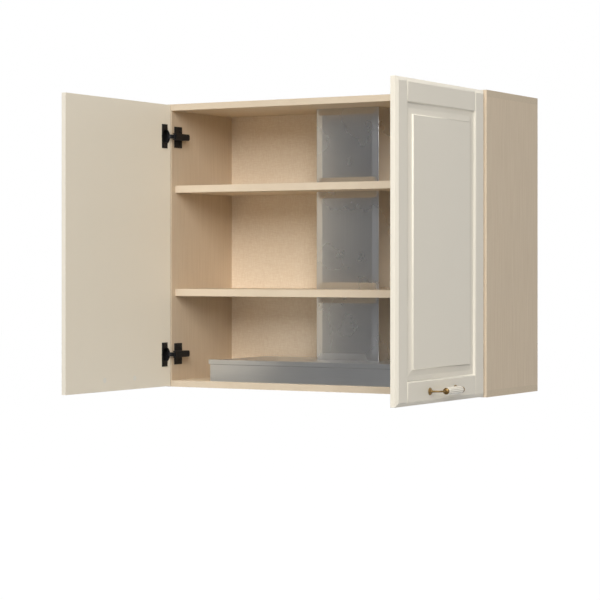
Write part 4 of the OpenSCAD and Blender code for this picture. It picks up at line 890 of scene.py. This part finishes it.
def brass_arms(side):
    """Both brass ends of one handle as a piece."""
    place = handle_places(side)
    end = brass_end(place)
    grids = [on_door(g, place) for g in end] + [on_door(g * (1, -1, 1), place) for g in end]
    return stand_for(surface(side + "_handle_arms.turned", grids), side + "_handle_arms")


ends = [brass_arms(side) for side in ("left", "right")]
print("brass ends:", {e.name: len(e.data.polygons) for e in ends})

# %% [markdown]
# The ceramic grip is a slim barrel with a dozen flutes along it and rolled ends. Its radius
# is one formula over the length and the turn. The flutes fade out where the ends roll in.


# %% The fluted grips
FLUTES, FLUTE_DEPTH = 12, 0.0007
TAPER, ROLL, ROLL_LENGTH = 0.0009, 0.0006, 0.002
GRIP_ROWS, POINTS_PER_FLUTE = 61, 12


def flute_share(turn):
    """0 on the ridges and 1 at the bottom of the flutes: 1 - |cos(turn * FLUTES / 2)|."""
    return 1 - np.abs(np.cos(turn * FLUTES / 2))


def fluted_grip(side):
    """A barrel with shallow flutes, over s from -1 to 1 along it and the turn round it.

    r = R - TAPER * s^2 - ROLL * edge^2 - FLUTE_DEPTH * flute_share * (1 - edge), where edge
    rises from 0 to 1 over the last ROLL_LENGTH. The attribute "flute depth" is flute_share.
    """
    place = handle_places(side)
    half, radius = place["grip"], place["radius"]
    s = np.concatenate([[-1], np.linspace(-1, 1, GRIP_ROWS), [1]])
    turn = np.linspace(0, 2 * math.pi, POINTS_PER_FLUTE * FLUTES + 1)
    edge = np.clip(1 - (1 - np.abs(s)) * half / ROLL_LENGTH, 0, 1)
    barrel = radius - TAPER * s ** 2 - ROLL * edge ** 2
    barrel[0] = barrel[-1] = 0
    flute = FLUTE_DEPTH * flute_share(turn) * (1 - edge[:, None])
    r = np.clip(barrel[:, None] - flute, 0, None)
    grid = np.stack([place["reach"] + r * np.cos(turn), np.outer(s * half, np.ones_like(turn)),
                     r * np.sin(turn)], axis=-1)
    grid[[0, -1], :, 0], grid[[0, -1], :, 2] = place["reach"], 0
    grip = surface(side + "_handle_grip.fluted", [on_door(grid, place)])
    points = np.empty(3 * len(grip.data.vertices))
    grip.data.vertices.foreach_get("co", points)
    points = points.reshape(-1, 3)
    away = place["out"] * (points[:, 0] - place["face"]) - place["reach"]
    turn = np.arctan2(points[:, 2] - place["centre_z"], away)
    share = grip.data.attributes.new("flute depth", "FLOAT", "POINT")
    share.data.foreach_set("value", flute_share(turn).astype(np.float32))
    return stand_for(grip, side + "_handle_grip")


grips = [fluted_grip(side) for side in ("left", "right")]
print("grips:", {g.name: len(g.data.polygons) for g in grips})

# %% [markdown]
# The CAD screws are plain pins with heads. Real ones have a cross recess to take the driver
# and a thread to bite. First the solids of a node are told apart, because one node holds all
# screws of a kind, and each of them gets a screw in its own place and direction.


# %% The separate solids of a node
def loose_parts(node):
    """The separate solids of a CAD node, each as an array of its corner points."""
    shape = bmesh.new()
    shape.from_mesh(nodes[node].data)
    bmesh.ops.remove_doubles(shape, verts=shape.verts, dist=SAME_POINT)
    parts, seen = [], set()
    for start in shape.verts:
        if start in seen:
            continue
        front, part = [start], []
        seen.add(start)
        while front:
            vert = front.pop()
            part.append(vert.co[:])
            for edge in vert.link_edges:
                other = edge.other_vert(vert)
                if other not in seen:
                    seen.add(other)
                    front.append(other)
        parts.append(np.array(part))
    shape.free()
    return parts


print("left cup screws:", len(loose_parts("left_cup_screws")))

# %% [markdown]
# A screw is one closed surface. Its rows run from the middle of the head, over the rim,
# down the shank and to the tip. The recess is a dent in the rows of the head, and the thread
# is a wave that climbs with the angle. Booleans would do it too, but they leave ragged
# meshes, and there are several dozen screws.

# %% Screws with cross recesses and threads
FLAT_HEAD, ROUND_HEAD = 0.42, 0.5  # heights, as shares of the head's radius
DOME, RIM = 0.35, 0.65  # shares of the head's height
RECESS_DEPTH, BAR_WIDTH, BAR_EDGE, BAR_END, BAR_FADE = 0.55, 0.13, 0.4, 0.5, 0.14
THREAD_DEPTH, THREAD_PITCH, TIP_LENGTH = 0.18, 0.0016, 1.2
AROUND, HEAD_ROWS, ROWS_PER_TURN = 49, 13, 6
NEAR_RIM, AT_THE_END = 0.95, 1e-5


def screw_grid(points, flat_head):
    """One screw in place of a solid, along its longest side, with the head at its thick end.

    The dent is RECESS_DEPTH * (1 - S(bars - BAR_EDGE)) * (1 - S((r - BAR_END) / BAR_FADE)),
    where S is smooth_step and bars is the distance from the nearer bar of the cross in
    BAR_WIDTH. The thread's radius is 1 - THREAD_DEPTH * (1 - |2 climb - 1|), where climb is
    the fraction left of depth / THREAD_PITCH - turn / 2 pi.
    """
    low, high = points.min(axis=0), points.max(axis=0)
    axis = int(np.argmax(high - low))
    others = [k for k in range(3) if k != axis]
    centre = (low + high) / 2
    radius = np.linalg.norm(points[:, others] - centre[others], axis=1)
    head_r, length = radius.max(), high[axis] - low[axis]
    thick = points[radius > NEAR_RIM * head_r, axis].mean()
    up = 1 if thick > centre[axis] else -1
    from_tip = np.abs(points[:, axis] - (centre[axis] - up * length / 2))
    shank_r = radius[from_tip < AT_THE_END].max()
    head_h = (FLAT_HEAD if flat_head else ROUND_HEAD) * head_r
    turn = np.linspace(0, 2 * math.pi, AROUND)
    inner = np.linspace(0, 1, HEAD_ROWS)[:, None]
    x, y = inner * np.cos(turn), inner * np.sin(turn)
    bars = np.minimum(np.abs(x), np.abs(y)) / BAR_WIDTH
    in_bars = (1 - smooth_step(bars - BAR_EDGE)) * (1 - smooth_step((inner - BAR_END) / BAR_FADE))
    dent = RECESS_DEPTH * head_h * in_bars
    dome = 0 * x if flat_head else -DOME * head_h * inner ** 2 + 0 * x
    top = np.stack([x * head_r, y * head_r, dome - dent], axis=-1)
    steps = max(8, int(length / THREAD_PITCH) * ROWS_PER_TURN)
    depth = np.linspace(head_h, length - TIP_LENGTH * shank_r, steps)[:, None]
    climb = np.mod(depth / THREAD_PITCH - turn / (2 * math.pi), 1)
    wave = 1 - THREAD_DEPTH + THREAD_DEPTH * np.abs(climb * 2 - 1)
    thread = np.stack([shank_r * wave * np.cos(turn), shank_r * wave * np.sin(turn),
                       -depth + 0 * turn], axis=-1)
    tip = np.zeros((1, len(turn), 3))
    tip[..., 2] = -length
    under = thread[:1] * (1, 1, 0) + (0, 0, -head_h)
    rim = top[-1:] + (0, 0, 0 if flat_head else -RIM * head_h)
    rows = [top, under, thread, tip] if flat_head else [top, rim, under, thread, tip]
    local = np.concatenate(rows)
    grid = np.empty_like(local)
    grid[..., others[0]] = centre[others[0]] + local[..., 0]
    grid[..., others[1]] = centre[others[1]] + local[..., 1]
    grid[..., axis] = centre[axis] + up * (length / 2 + local[..., 2])
    return grid


HAS_FLAT_HEAD = {"left_cup_screws": False, "right_cup_screws": False,
                 "hinge_plate_screws": False, "hood_screws": False, "cover_screws": False,
                 "fan_screws": False, "carcass_screws": True, "hanging_plate_screws": True}
for node, flat_head in HAS_FLAT_HEAD.items():
    grids = [screw_grid(points, flat_head) for points in loose_parts(node)]
    stand_for(surface(node + ".threaded", grids), node)
    print(node, len(grids), "screws")

# %% [markdown]
# The grease filters are pads of expanded metal: sheet that is slit and pulled open into
# diamonds. A pad of real strands would need a million faces. From below only the relief
# shows, so two families of slanted ridges cross on one closed surface.

# %% The expanded metal of the grease filters
DIAMOND_X, DIAMOND_Y, STRAND = 0.009, 0.006, 0.0011
RIDGE_FROM, RIDGE_RISE, FLAT_RIM, CELL = 0.7, 0.25, 0.002, 0.001


def expanded_pad(node):
    """A closed pad whose upper and lower faces carry ridges of the height STRAND.

    ridge = S((max(|cos a|, |cos b|) - RIDGE_FROM) / RIDGE_RISE) * S(rim / FLAT_RIM), where a
    and b grow along the two diagonals of a diamond and S is smooth_step.
    """
    low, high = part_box(node)
    columns = int((high.x - low.x) / CELL)
    rows = int((high.y - low.y) / CELL)
    x, y = np.meshgrid(np.linspace(low.x, high.x, columns), np.linspace(low.y, high.y, rows))
    one = np.abs(np.cos(math.pi * (x / DIAMOND_X + y / DIAMOND_Y)))
    two = np.abs(np.cos(math.pi * (x / DIAMOND_X - y / DIAMOND_Y)))
    rim = np.minimum.reduce([x - low.x, high.x - x, y - low.y, high.y - y])
    ridge = smooth_step((np.maximum(one, two) - RIDGE_FROM) / RIDGE_RISE)
    ridge *= smooth_step(rim / FLAT_RIM)
    under = np.stack([x, y, low.z + STRAND * (1 - ridge)], axis=-1)
    over = np.stack([x, y, high.z - STRAND * (1 - ridge)], axis=-1)
    edge = [np.stack([under[k], over[k]]) for k in (0, -1)]
    edge += [np.stack([under[:, k], over[:, k]]) for k in (0, -1)]
    return stand_for(surface(node + ".expanded", [under, over] + edge), node)


pads = [expanded_pad(n) for n in ("left_filter_mesh", "right_filter_mesh")]
print("filter pads:", [len(p.data.polygons) for p in pads])
